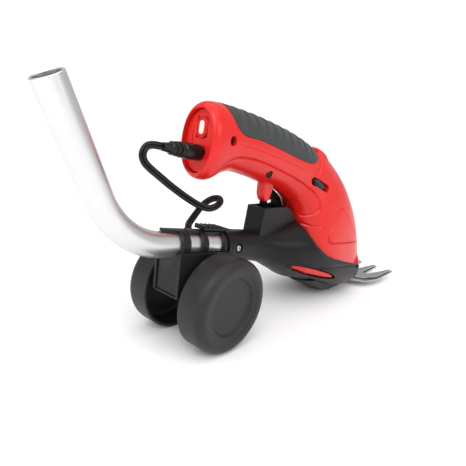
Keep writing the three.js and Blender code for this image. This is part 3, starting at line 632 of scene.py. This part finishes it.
# ------------------------------------------------------------------ shears: form and relief
# top x, top z, bottom x, bottom z, half width, squareness
SHEARS_RIBS = [
    (-14.8, 175.5, -18.0, 137.0, 12.6, 2.2), (-13.4, 180.2, -17.0, 131.8, 16.2, 2.2),
    (-10.0, 182.8, -13.2, 128.4, 17.8, 2.2), (-4.5, 183.6, -6.5, 127.8, 18.2, 2.2),
    (4.0, 183.0, 5.0, 131.5, 17.6, 2.2), (18.0, 181.5, 19.0, 133.6, 17.2, 2.2),
    (45.0, 177.6, 41.0, 129.4, 17.5, 2.2), (72.0, 172.4, 62.0, 123.6, 18.0, 2.2),
    (98.0, 166.4, 83.0, 118.4, 18.6, 2.2), (122.0, 159.0, 98.5, 111.6, 19.6, 2.2),
    (137.0, 152.4, 106.5, 106.8, 20.6, 2.2), (143.0, 153.4, 110.0, 104.2, 22.4, 2.3),
    (168.0, 139.2, 117.5, 94.0, 25.4, 2.4), (187.5, 124.0, 120.5, 84.0, 28.8, 2.5),
    (204.5, 107.0, 121.0, 73.0, 31.8, 2.5), (217.5, 89.4, 121.5, 61.0, 34.2, 2.6),
    (228.0, 69.6, 125.0, 49.5, 35.8, 2.7), (234.8, 49.5, 133.0, 39.0, 36.4, 2.8),
    (237.8, 31.0, 143.0, 29.5, 35.6, 2.8), (239.8, 21.0, 152.0, 20.0, 33.0, 2.8),
    (238.6, 14.6, 160.0, 14.6, 28.0, 2.8),
]
CUP_RIBS = [
    (46, 83.2, 46, 56.8, 13.0, 2.0), (60, 81.3, 60, 53.6, 13.6, 2.1),
    (74, 80.8, 74, 49.6, 17.0, 2.1), (88, 82.0, 88, 42.6, 23.0, 2.0),
    (102, 85.0, 102, 35.6, 29.0, 2.0), (116, 87.6, 116, 28.4, 33.4, 2.0),
    (131, 82.0, 131, 24.6, 36.8, 2.1), (148, 71.0, 148, 18.8, 39.0, 2.2),
    (166, 62.0, 166, 12.4, 39.7, 2.3), (184, 57.0, 184, 7.0, 39.8, 2.3),
    (204, 54.0, 204, 4.2, 39.6, 2.3), (214, 52.6, 214, 4.6, 39.2, 2.3),
]
KEEL_RIBS = [
    (131, 82.0, 131, 23.4, 36.8, 2.1), (148, 71.0, 148, 16.2, 39.0, 2.2),
    (166, 62.0, 166, 7.4, 39.7, 2.3), (184, 57.0, 184, 0.6, 39.8, 2.3),
    (204, 54.0, 204, -1.0, 39.6, 2.3), (214, 52.6, 214, 0.6, 39.2, 2.3),
]
CUP_MOUTH = (240, 52, 240, 1.6, 38.8, 2.3)    # carries the hollows out of the cup's front
GRIP_OUTLINE = curve_through([
    (4, 176), (8, 168.5), (14, 163.5), (22, 161.2), (34, 159.8), (50, 156.4), (70, 151.6),
    (90, 146.4), (106, 142.9), (116, 142.0), (124, 143.8), (131, 148), (135, 153), (142, 165),
], 5) + [(120, 190), (0.5, 190)]
HANDLE_GROOVE = curve_through([
    (-2, 139), (4, 143.2), (18, 145.8), (45, 142.2), (88, 130), (113, 120.5), (127, 111.5),
    (132.5, 104), (130.5, 96), (121, 91)], 6)
HANDLE_CREASE = curve_through([(14, 156.3), (31, 153.8), (52, 149.6), (79, 143.4), (104, 137.4)])
HEAD_PANEL = [(164.5, 99.5), (168, 98.5), (200.5, 67), (201, 61), (150, 66), (146, 68.5),
              (145.8, 72.5)]
NECK_LEDGE = curve_through([(118, 84.8), (127, 82.4), (136, 82), (143, 78.6)])
GRIP_TOP = ([4, 18, 45, 72, 98, 122, 137], [183, 181.5, 177.6, 172.4, 166.4, 159.0, 152.4])
RIDGE_PITCH = 11.8


def housing_relief(points, normals):
    side = step(np.abs(normals[:, 1]), 0.15, 0.4)
    out = -1.0 * side * np.exp(-(to_line(points, HANDLE_GROOVE) / 0.75) ** 2)
    under = HANDLE_GROOVE + [(60, 100), (-2, 110)]
    out -= 0.45 * side * inside(points, under)
    out -= 0.35 * side * np.exp(-(to_line(points, HANDLE_CREASE) / 0.7) ** 2)
    edge = to_line(points, HEAD_PANEL, closed=True)
    within = inside(points, HEAD_PANEL)
    out += side * (0.7 * step(np.where(within, edge, -edge), -0.2, 1.0)
                   - 0.9 * np.exp(-((edge - 0.5) / 0.65) ** 2) * ~within)
    out -= 0.8 * side * np.exp(-(to_line(points, NECK_LEDGE) / 0.8) ** 2)
    ahead = points[:, 0] + 0.6 * (points[:, 2] - 152)
    shoulder = step(ahead, 137.5, 140.5) * (1 - step(ahead, 142, 160))
    lip = step(points[:, 0], 214.6, 216.4) * (1 - step(points[:, 2], 33, 46))
    return out + 1.5 * shoulder * step(points[:, 2], 143, 149) + 3.4 * side * lip


def grip_relief(points, normals):
    x, z = points[:, 0], points[:, 2]
    drop_from_top = np.interp(x, *GRIP_TOP) - z
    along = x + 0.3 * np.maximum(drop_from_top, 0)
    phase = ((along - 12.5) / RIDGE_PITCH) % 1
    scale = np.where(phase < 0.16, np.sin(phase / 0.16 * np.pi / 2),
                     1 - 0.75 * np.maximum((phase - 0.16) / 0.84, 0) ** 1.5)
    strong = step(along, 10, 18) * (1 - step(along, 116, 126)) * (
        1 - step(drop_from_top, 7, 17))
    out = 0.35 + 1.35 * strong * (scale - 0.75)
    edge = np.clip(to_line(points, GRIP_OUTLINE) / 1.8, 0, 1)
    return out - 1.3 * (1 - np.sqrt(1 - (1 - edge) ** 2))


def largest(obj):
    """Keeps only the biggest connected part of a solid."""
    bm = bmesh.new()
    bm.from_mesh(obj.data)
    todo, groups = set(bm.verts), []
    while todo:
        stack, group = [todo.pop()], []
        while stack:
            vertex = stack.pop()
            group.append(vertex)
            for edge in vertex.link_edges:
                other = edge.other_vert(vertex)
                if other in todo:
                    todo.remove(other)
                    stack.append(other)
        groups.append(group)
    groups.sort(key=len)
    for group in groups[:-1]:
        bmesh.ops.delete(bm, geom=group, context="VERTS")
    bm.to_mesh(obj.data)
    bm.free()
    return obj


# ------------------------------------------------------------------ shears: housing halves
SCREWS = {"rear": (4, 158, 17.6), "front": (58.5, 132, 16.4), "low": (142, 44, 35),
          "nose": (196, 29, 36)}
SCREW_HEAD_DEPTH = 4.2
BUTTON_PLACE = (129, 122.6)
BUTTON_SLOPE = -0.37
SLOT_PLACE = (130, 37.6)
SLOT_SLOPE = -0.3
TAB_HALF = (32, 3.1)     # half length and half height of the release tab,
SLOT_HALF = (34, 4.4)    # of its slot in the cup
POCKET_HALF = (34, 5.4)  # and of the pocket behind it in the housing
LAMP_START = np.array([195, 0, 84.5])
LAMP_AXIS = np.array([0.8, 0, 0.6])


def make_housings():
    shell = loft(SHEARS_RIBS, between=20, sides=300, relief=housing_relief)
    bosses = [rod((x, -34, z), (x, 34, z), 4.6) for x, z, _ in SCREWS.values()]
    inner_ribs = list(SHEARS_RIBS[4:-1]) + [(238.6, 8, 160.0, 8, 28.0, 2.8)]
    whole = twin(shell)
    bosses = common(join(bosses[0], *bosses[1:]), whole)
    shell = join(cut(shell, loft(inner_ribs, 4, 4, 64)), bosses)
    opening = loft([
        (-24.0, 181.5, -28.5, 128.5, 18.0, 2.2), (-16.5, 179.4, -20.5, 131.4, 16.0, 2.2),
        (-13.5, 178.4, -17.0, 132.8, 15.1, 2.2), (-4.9, 178.4, -8.2, 132.9, 14.9, 2.2),
        (4.0, 177.8, 4.8, 136.5, 13.8, 2.2)], 0, 4, 96)
    grip_bed = cut(prism(GRIP_OUTLINE, -40, 40), loft(SHEARS_RIBS, 2.5, 6, 96))
    lever_pocket = common(cut(loft(CUP_RIBS, -2, 6, 96), loft(CUP_RIBS, 5, 6, 96)),
                          prism(oval(SLOT_PLACE, *POCKET_HALF, SLOT_SLOPE), -50, 50))
    holes = []
    for x, z, reach in SCREWS.values():
        holes.append(lathe([(0, 0), (4.6, 0), (3.7, 42 - reach - 0.5), (3.3, 42 - reach + SCREW_HEAD_DEPTH),
                            (1.8, 42 - reach + SCREW_HEAD_DEPTH + 0.1), (1.8, 54.5), (0, 54.5)],
                           (x, -42, z), (0, 1, 0), 40))
    cut(shell, opening, grip_bed, lever_pocket, *holes,
        prism([(65, 105), (80.8, 105), (80.8, 136), (65, 136)], -5.1, 5.1),
        prism(oblong(BUTTON_PLACE, 27, 7.4, BUTTON_SLOPE), -40, 40),
        rod(LAMP_START, LAMP_START + 60 * LAMP_AXIS, 3.8))
    for name, low, high in (("right", -60, -GAP / 2), ("left", GAP / 2, 60)):
        half = largest(common(twin(shell), block((-60, 300), (low, high), (0, 220))))
        piece(half, f"shell_{name}", f"housing_{name}", smooth=28)
    drop(shell)


def make_grip():
    grip = cut(loft(SHEARS_RIBS[3:13], 0, 22, 220, grip_relief), loft(SHEARS_RIBS, 2.2, 6, 96))
    outline = [(x + 0.15, z + 0.35) for x, z in GRIP_OUTLINE]
    piece(largest(common(grip, prism(outline, -40, 40))), "grip_cover", "soft_grip", smooth=40)


def make_housing_screws():
    for name, (x, z, reach) in SCREWS.items():
        head = -reach + SCREW_HEAD_DEPTH - GAP - 2.2
        screw = lathe([(0, 0), (1.4, 0.02), (2.3, 0.3), (2.8, 0.9), (2.9, 1.5), (2.9, 2.2),
                       (1.4, 2.2), (1.4, 12 - head), (0, 12 - head)], (x, head, z), (0, 1, 0), 40)
        cross = join(block((x - 1.9, x + 1.9), (head - 1, head + 1.1), (z - 0.35, z + 0.35)),
                     block((x - 0.35, x + 0.35), (head - 1, head + 1.1), (z - 1.9, z + 1.9)))
        piece(cut(screw, cross), f"screw_{name}", f"housing_screw_{name}", DARK_STEEL)


# ------------------------------------------------------------------ shears: rear end, controls
def make_rear():
    plate = rounded(loft([(-10.6, 177.9, -13.9, 133.3, 14.7, 2.2),
                          (-8.2, 178.0, -11.5, 133.2, 14.7, 2.2)], 0, 1, 120), 0.4, 3, 50)
    pocket = loft([(-18.0, 175.2, -18.0, 140.5, 9.8, 1.8), (-12.1, 174.6, -14.1, 141.0, 9.2, 1.8),
                   (-10.0, 174.2, -12.6, 141.6, 8.6, 1.8)], 0, 2, 96)
    bed = block((-20, -10), (-5.6, 5.6), (157.3, 172.7))
    hole = rod(PLUG_FRONT - 12 * PLUG_AXIS, PLUG_FRONT + 12 * PLUG_AXIS, 5.0)
    shallow = common(pocket, block((-30, -11.4), (-30, 30), (100, 200)))
    piece(cut(plate, shallow, bed, hole), "back_plate", "rear_plate")

    turn = Matrix.Translation((-10.7, 0, 165)) @ Matrix.Rotation(-math.pi / 2 + 0.07, 4, "Y")
    plaque = rounded(prism(oblong((0, 0), 14.6, 10.6, 0, 20), 0, 1.2, "xy"), 0.35, 3, 50)
    cut(plaque, cut(prism(oblong((0, 0), 13.0, 9.0, 0, 20), 0.8, 2, "xy"),
                    prism(oblong((0, 0), 12.0, 8.0, 0, 20), 0.5, 2.5, "xy")))
    bar = rounded(prism(oblong((0, 0), 9.6, 4.4, 0, 16), 0.9, 1.45, "xy"), 0.15, 2, 50)
    plaque.data.transform(turn)
    bar.data.transform(turn)
    piece(plaque, "badge_plaque", "rear_badge", RED)
    piece(bar, "badge_bar", "rear_badge", WHITE, stands_for=False)


def make_trigger():
    outline = [(66, 131.4), (66, 114), (66.6, 112.2), (67.2, 111)]
    outline += arc((72.4, 111), 4.6, 195, 345, 14)
    outline += [(77.8, 112.6), (78.7, 115), (79.8, 118.4), (79.8, 131.4)]
    piece(rounded(prism(outline, -4.5, 4.5), 1.7, 5, 40), "trigger_lever", "trigger")


def make_lockout():
    """A lens-shaped bar with a ridge along the middle of each end."""
    def end(long, high):
        return oval(BUTTON_PLACE, long / 2, high / 2, BUTTON_SLOPE, 64)

    bar = join(prism(end(26.4, 6.7), -21.6, 21.6), prism(end(23.6, 4.6), -22.3, 22.3),
               prism(end(20.0, 2.2), -22.9, 22.9))
    waist = cut(prism(oblong(BUTTON_PLACE, 34, 14, BUTTON_SLOPE), -14, 14),
                prism(oblong(BUTTON_PLACE, 18, 3.6, BUTTON_SLOPE), -15, 15))
    piece(rounded(cut(bar, waist), 0.3, 3, 40), "lock_button", "lockout_button", JACKET)


def make_lens():
    lens = lathe([(0, 0), (3.4, 0), (3.4, 15.9), (3.25, 16.6), (2.7, 17.1), (1.6, 17.45),
                  (0, 17.6)], LAMP_START, LAMP_AXIS, 48)
    piece(lens, "indicator_lens", "status_lens")


# ------------------------------------------------------------------ blades
TIP_X = 313.65
RIVET_X = 219
RIVET_Y = 11
PIVOT_X = 207
GEAR_X = 179.2


def teeth(root_x, tip_x, root_pitch, tip_pitch, root_width, tip_width, root_round=3):
    points = []
    for order in range(-2, 3):
        middle = order * root_pitch
        tip = order * tip_pitch
        points += [(root_x, middle - root_width / 2),
                   (tip_x - 3, tip - tip_width / 2 - 0.3), (tip_x - 0.6, tip - tip_width / 3),
                   (tip_x, tip), (tip_x - 0.6, tip + tip_width / 3),
                   (tip_x - 3, tip + tip_width / 2 + 0.3),
                   (root_x, middle + root_width / 2)]
        if order < 2:
            gap = root_pitch - root_width
            points += [(root_x - root_round * 0.7, middle + root_width / 2 + gap * 0.22),
                       (root_x - root_round, middle + root_pitch / 2),
                       (root_x - root_round * 0.7, middle + root_width / 2 + gap * 0.78)]
    return points


def make_blades():
    comb = rounded(prism([(194, -16), (225, -17), (241, -39), (258, -43.6)]
                         + teeth(266, TIP_X, 19.2, 21, 13, 2.6)
                         + [(258, 43.6), (241, 39), (225, 17), (194, 16)], 6.2, 8.2, "xy"),
                   0.45, 2, 25)
    cut(comb, rod((PIVOT_X, 0, 5), (PIVOT_X, 0, 10), 3.4),
        *[rod((RIVET_X, side * RIVET_Y, 5), (RIVET_X, side * RIVET_Y, 10), 2.4)
          for side in (-1, 1)])
    piece(comb, "blade_lower", "comb_blade")
    tail = [(171, -10), (191, -10), (202, -7.5), (214, -6.2), (224, -6.4), (237, -19), (246, -35)]
    cutter = rounded(prism(tail + teeth(264, TIP_X - 6, 18.6, 20.5, 10, 2)
                           + [(x, -y) for x, y in reversed(tail)], 8.6, 10.6, "xy"), 0.45, 2, 25)
    cut(cutter, block((174, 188), (-7, 7), (5, 12)),
        rod((PIVOT_X, 0, 5), (PIVOT_X, 0, 12), 3.4))
    piece(cutter, "blade_upper", "cutter_blade")

    pivot = join(lathe([(0, 0), (4.9, 0), (5.5, 0.5), (5.5, 1.9), (3, 1.9), (3, 12.1), (0, 12.1)],
                       (PIVOT_X, 0, 3.9), (0, 0, 1), 48),
                 rounded(rod((PIVOT_X, 0, 13.8), (PIVOT_X, 0, 16), 5.5, sides=6), 0.4, 2, 40))
    hexagon = rod((PIVOT_X, 0, 3), (PIVOT_X, 0, 4.9), 2.2, sides=6)
    piece(cut(pivot, hexagon), "pivot_bolt", "blade_pivot")
    for name, side in (("right", -1), ("left", 1)):
        rivet = lathe([(0, 0.1), (2.0, 0.15), (2.8, 0.5), (2.8, 0.9), (2, 0.95), (2, 8.8),
                       (3.6, 8.8), (3.5, 9.6), (2.6, 10.2), (0, 10.4)],
                      (RIVET_X, side * RIVET_Y, 5), (0, 0, 1), 40)
        piece(rivet, f"rivet_{name}", f"blade_rivet_{name}")
    outline = [(x, y) for x, y, _ in oval_ring((229, 0, 168, 0, 21, 3), 0, 96)]
    base = rounded(prism(outline, 11.2, 13.4, "xy"), 0.5, 3, 50)
    cut(base, rod((GEAR_X, 0, 5), (GEAR_X, 0, 20), 7.2),
        rod((PIVOT_X, 0, 5), (PIVOT_X, 0, 20), 3.4),
        *[rod((RIVET_X, side * RIVET_Y, 5), (RIVET_X, side * RIVET_Y, 20), 2.4)
          for side in (-1, 1)])
    piece(base, "base_plate", "blade_base")


# ------------------------------------------------------------------ carriage
CUP_RIM = curve_through([(119, 84.6), (118.8, 77), (123, 69), (130, 61.8), (142, 54.2),
                         (156, 49), (172, 44.4), (192, 38.6), (212, 33.4), (226, 30)], 6)
CUP_CREASE = curve_through([(104, 42.6), (118.8, 44.4), (141.8, 42.6), (162.6, 40.2), (189.6, 36.6),
                            (214, 31)])
SOCKET_START = 19.5
SOCKET_R = 13
TUBE_END = 56
SCREW_ALONG = 32
CUP_WALL = 2.2
CUP_FLOOR = 2.6


def axis_point(distance):
    return np.array([distance * math.cos(TUBE_SLOPE), 0,
                     TUBE_HEIGHT - distance * math.sin(TUBE_SLOPE)])


def cup_relief(points, normals):
    side = step(np.abs(normals[:, 1]), 0.1, 0.35)
    bevel = np.clip(1 - to_line(points, CUP_RIM) / 3.4, 0, 1)
    rim = to_line(points, oval(SLOT_PLACE, *SLOT_HALF, SLOT_SLOPE), closed=True)
    crease = np.exp(-(to_line(points, CUP_CREASE) / 0.9) ** 2)
    return side * (0.75 * (1 - step(rim, 0.9, 2.4)) - 1.3 * bevel - 0.8 * crease)


def make_carriage():
    """Socket, trigger tower and cup; a stepped keel with the blades' bay in it is the sole."""
    body = loft(CUP_RIBS, 0, 14, 220, cup_relief)
    hollow = common(loft([*CUP_RIBS[2:], CUP_MOUTH], CUP_WALL, 6, 120),
                    block((60, 300), (-60, 60), (CUP_FLOOR, 120)))
    keel = common(loft(KEEL_RIBS, 0, 6, 120), join(
        block((140, 213.6), (-24.2, 24.2), (7, 24), 1.2),
        block((186, 213.6), (-20.5, 20.5), (3, 24), 1.2),
        block((150, 213.6), (-16.5, 16.5), (-5, 24), 2.4)))
    bay = common(loft([*KEEL_RIBS, CUP_MOUTH], CUP_WALL, 6, 120), join(
        block((140, 300), (-22, 22), (9, 60)), block((190, 300), (-18.5, 18.5), (5.2, 60)),
        block((140, 300), (-14.5, 14.5), (CUP_FLOOR, 60))))
    rim = prism([(119, 140)] + CUP_RIM + [(226, 140)], -60, 60)
    tower = rounded(prism([(60.4, 72), (63.7, 102.2), (98, 101.2), (104, 98.6), (110, 94.2),
                           (115, 89.6), (119, 84.4), (119, 72)], -9.6, 9.6), 0.7, 3, 40)
    room = prism([(66, 60), (66, 110), (97, 110), (97, 99.4), (103, 96.6), (109, 92.2),
                  (113.5, 88), (116.5, 83), (116.5, 60)], -7.6, 7.6)
    fin = rounded(prism([(80, 100), (80.5, 114), (84, 120), (100, 118), (115, 106), (119, 96),
                         (113, 91), (106, 96), (97, 100)], 7.8, 9.6), 0.3, 2, 40)
    window = block((90, 97.5), (7, 10), (101.4, 104.4))
    skirt = lathe([(0, SOCKET_START), (SOCKET_R - 0.7, SOCKET_START),
                   (SOCKET_R - 0.2, SOCKET_START + 0.2), (SOCKET_R, SOCKET_START + 0.7),
                   (SOCKET_R, 60), (0, 60)], axis_point(0), axis_point(1) - axis_point(0), 96)
    bore = rod(axis_point(10), axis_point(TUBE_END + 1), TUBE_R + GAP, sides=96)
    screw = axis_point(SCREW_ALONG)
    side_hole = lathe([(0, 0), (5.0, 0), (4.0, 7.6), (4.0, 15), (0, 15)],
                      (screw[0], -20, screw[2]), (0, 1, 0), 48)
    join(body, keel, skirt, tower, cut(fin, window))
    cut(body, hollow, bay, room, rim, bore, side_hole,
        prism(oblong((27, 0), 9, 4.6, 0), 80, 100, "xy"),
        loft(SHEARS_RIBS, -GAP, 6, 120),
        prism(oval(SLOT_PLACE, *SLOT_HALF, SLOT_SLOPE), -60, -15),
        prism(oval(SLOT_PLACE, *SLOT_HALF, SLOT_SLOPE), 15, 60),
        block((0, 300), (-60, 60), (-20, 0)))
    piece(largest(body), "carriage", "carriage_body", smooth=28)


def lever_relief(points, normals):
    rim = np.clip(to_line(points, oval(SLOT_PLACE, *TAB_HALF, SLOT_SLOPE), closed=True) / 1.4, 0, 1)
    return -0.9 * (1 - np.sqrt(1 - (1 - rim) ** 2))


def make_levers():
    for name, low, high in (("right", -60, -15), ("left", 15, 60)):
        band = cut(loft(CUP_RIBS[3:10], 0.5, 22, 220, lever_relief), loft(CUP_RIBS, 2.3, 6, 96))
        tab = common(band, prism(oval(SLOT_PLACE, *TAB_HALF, SLOT_SLOPE), low, high))
        piece(largest(tab), f"lever_{name}", f"release_lever_{name}", smooth=50)


# ------------------------------------------------------------------ wheel bracket
HOOPS = [(-30.5, -22.5), (-9.5, -3.5), (14.4, 17.8)]
BRACKET_OUT = 12


def sleeve(start, end, radius, edge=0.0):
    solid = rod(axis_point(start), axis_point(end), radius, sides=96)
    return rounded(solid, edge, 3, 50) if edge else solid


def make_bracket():
    hoops = [sleeve(start, end, BRACKET_OUT, 0.7) for start, end in HOOPS]
    low = common(sleeve(-30.5, 17.8, BRACKET_OUT, 0.5), prism(
        [(-60, 40), (60, 40), (60, TUBE_HEIGHT - 10.5), (-60, TUBE_HEIGHT + 6.6)], -20, 20))
    spine = common(sleeve(-30.5, 17.8, BRACKET_OUT), block((-40, 40), (-4.6, 4.6), (80, 110)))
    tongue = common(sleeve(-44, -22.5, BRACKET_OUT), prism(
        [(-44, -1.4), (-24, -5), (-24, 5), (-44, 1.4)], 84, 110, "xy"))
    leg = curve_through([(-34, 43), (-20, 36.2), (-8, 31.5)], 3) + curve_through(
        [(-8, 31.5), (0, 29.9), (6, 31), (9, 36), (10.5, 44), (12.5, 53), (17.6, 63.5)], 4)
    legs = [rounded(prism([(-34, 77.6)] + leg + [(17.6, 71.6)],
                          *sorted((side * 11.2, side * 13.8))), 0.5, 3, 40)
            for side in (-1, 1)]
    panel = rounded(prism([(-32.8, 76), (-32.8, 43.4), (-30.6, 42.4), (-30.6, 76)], -12, 12), 0.3)
    flange = rounded(prism([(-33.8, 44.4), (-33.8, 42.8), (-28, 40), (-28, 41.6)], -12, 12), 0.3)
    deck = prism([(-32, 66), (17, 59), (17, 62), (-32, 69)], -12, 12)
    boss = rounded(rod((0, -16.4, WHEEL_R), (0, 16.4, WHEEL_R), 6.6, sides=72), 0.5, 3, 50)
    body = join(hoops[0], *hoops[1:], low, spine, tongue, *legs, panel, flange, deck, boss)
    cut(body, sleeve(-60, 30, TUBE_R + GAP),
        rod((0, -40, WHEEL_R), (0, 40, WHEEL_R), 3.3),
        rod((-16, 0, 84), (-16, 0, 100), 3.9))
    piece(largest(body), "bracket", "wheel_bracket", BRACKET, smooth=28)


def make_clip():
    """Lies on the spine; its front end reaches over the carriage socket."""
    def above(x, lift):
        return x, TUBE_HEIGHT + 12.4 + lift - x * math.tan(TUBE_SLOPE)

    profile = [above(-4, 0), above(-4, 3.6)]
    for tooth in range(4):
        x = -1.4 + tooth * 4.6
        profile += [above(x, 3.6), above(x + 0.6, 1.9), above(x + 2.2, 2.1), above(x + 3.4, 3.6)]
    profile += [above(24, 2.4), above(24, 1.1), above(18.9, 1.1), above(18.9, 0)]
    piece(rounded(prism(profile, -5.5, 5.5), 0.2, 2, 25), "clip", "bracket_clip")


def make_pole_screw():
    x, _, z = axis_point(SCREW_ALONG)
    screw = lathe([(0, 0), (1.5, 0.05), (2.3, 0.4), (2.6, 0.9), (2.6, 1.8), (1.4, 1.8),
                   (1.4, 7.5), (0, 7.5)], (x, -13, z), (0, 1, 0), 40)
    cross = join(block((x - 1.8, x + 1.8), (-14, -12.1), (z - 0.35, z + 0.35)),
                 block((x - 0.35, x + 0.35), (-14, -12.1), (z - 1.8, z + 1.8)))
    piece(cut(screw, cross), "tube_screw", "pole_screw")


# ------------------------------------------------------------------ wheels and pole
def make_wheels():
    rim = [(35.2, 0.5), (35.7, 0.0), (36.9, 0.0), (37.4, 0.35), (WHEEL_R, 1.0), (WHEEL_R, 8),
           (WHEEL_R, 15.2)]
    shoulder = [(37.35, 17.0), (36.9, 18.6), (36.1, 20.2), (35.0, 21.5), (33.6, 22.4),
                (32.0, 22.85), (30.4, 22.85), (28.8, 22.7), (27.2, 22.4), (25.8, 21.8),
                (24.8, 21.5), (23.9, 21.55), (23.2, 21.4), (22.5, 20.7), (21.9, 19.7),
                (21.0, 19.3), (19.5, 19.15), (10, 19.0), (0, 19.0)]
    hollow = [(0, 17.4), (3.25, 17.4), (3.25, 1.3), (3.5, 1.0), (6.7, 1.0), (7, 1.3), (7, 16.6),
              (7.6, 17.2), (22.0, 17.2), (26, 19.2), (32.6, 19.4), (34.4, 18.2), (35.0, 16.2)]
    for name, side in (("right", -1), ("left", 1)):
        wheel = lathe(hollow + rim + shoulder, (0, side * 18.3, WHEEL_R), (0, side, 0), 128)
        piece(wheel, f"roller_{name}", f"wheel_{name}", smooth=40)


BEND_START = -43.5
BEND_R = 66
BEND_ANGLE = math.radians(55.9)
UPPER_LENGTH = 73.5


def make_pole():
    """The lower section, one bend and the upper section of a drawn tube."""
    hub = axis_point(BEND_START) + BEND_R * np.array(
        [math.sin(TUBE_SLOPE), 0, math.cos(TUBE_SLOPE)])
    centres = [(axis_point(TUBE_END), -TUBE_SLOPE)]
    for slope in np.linspace(-TUBE_SLOPE, -TUBE_SLOPE - BEND_ANGLE, 33):
        centres.append((hub + BEND_R * np.array([math.sin(slope), 0, -math.cos(slope)]), slope))
    bent, last = centres[-1]
    forward = np.array([-math.cos(last), 0, -math.sin(last)])
    centres.append((bent + UPPER_LENGTH * forward, last))

    def ring(centre, slope, radius, shift=0.0, sides=96):
        across = np.array([-math.sin(slope), 0, math.cos(slope)])
        ahead = np.array([math.cos(slope), 0, math.sin(slope)])
        a = np.linspace(0, 2 * np.pi, sides, endpoint=False)
        points = centre + shift * ahead + radius * np.outer(np.sin(a), across)
        points[:, 1] = -radius * np.cos(a)
        return points

    soft = 0.35
    inner = TUBE_R - TUBE_WALL
    rings = [ring(*centres[0], TUBE_R - soft), ring(*centres[0], TUBE_R, -soft)]
    rings += [ring(*c, TUBE_R) for c in centres[1:-1]]
    rings += [ring(*centres[-1], TUBE_R, soft), ring(*centres[-1], TUBE_R - soft)]
    rings += [ring(*centres[-1], inner + soft), ring(*centres[-1], inner, soft)]
    rings += [ring(*c, inner) for c in reversed(centres[1:-1])]
    rings += [ring(*centres[0], inner, -soft), ring(*centres[0], inner + soft)]
    pole = skin(rings, closed=True)
    x, _, z = axis_point(SCREW_ALONG)
    cut(pole, rod((-16, 0, 80), (-16, 0, 100), 2.9), rod((x, -20, z), (x, -4, z), 1.8))
    piece(pole, "pole", "pole_tube", smooth=30)


make_housings()
make_grip()
make_housing_screws()
make_rear()
make_trigger()
make_lockout()
make_lens()
make_blades()
make_carriage()
make_levers()
make_bracket()
make_clip()
make_pole_screw()
make_wheels()
make_pole()
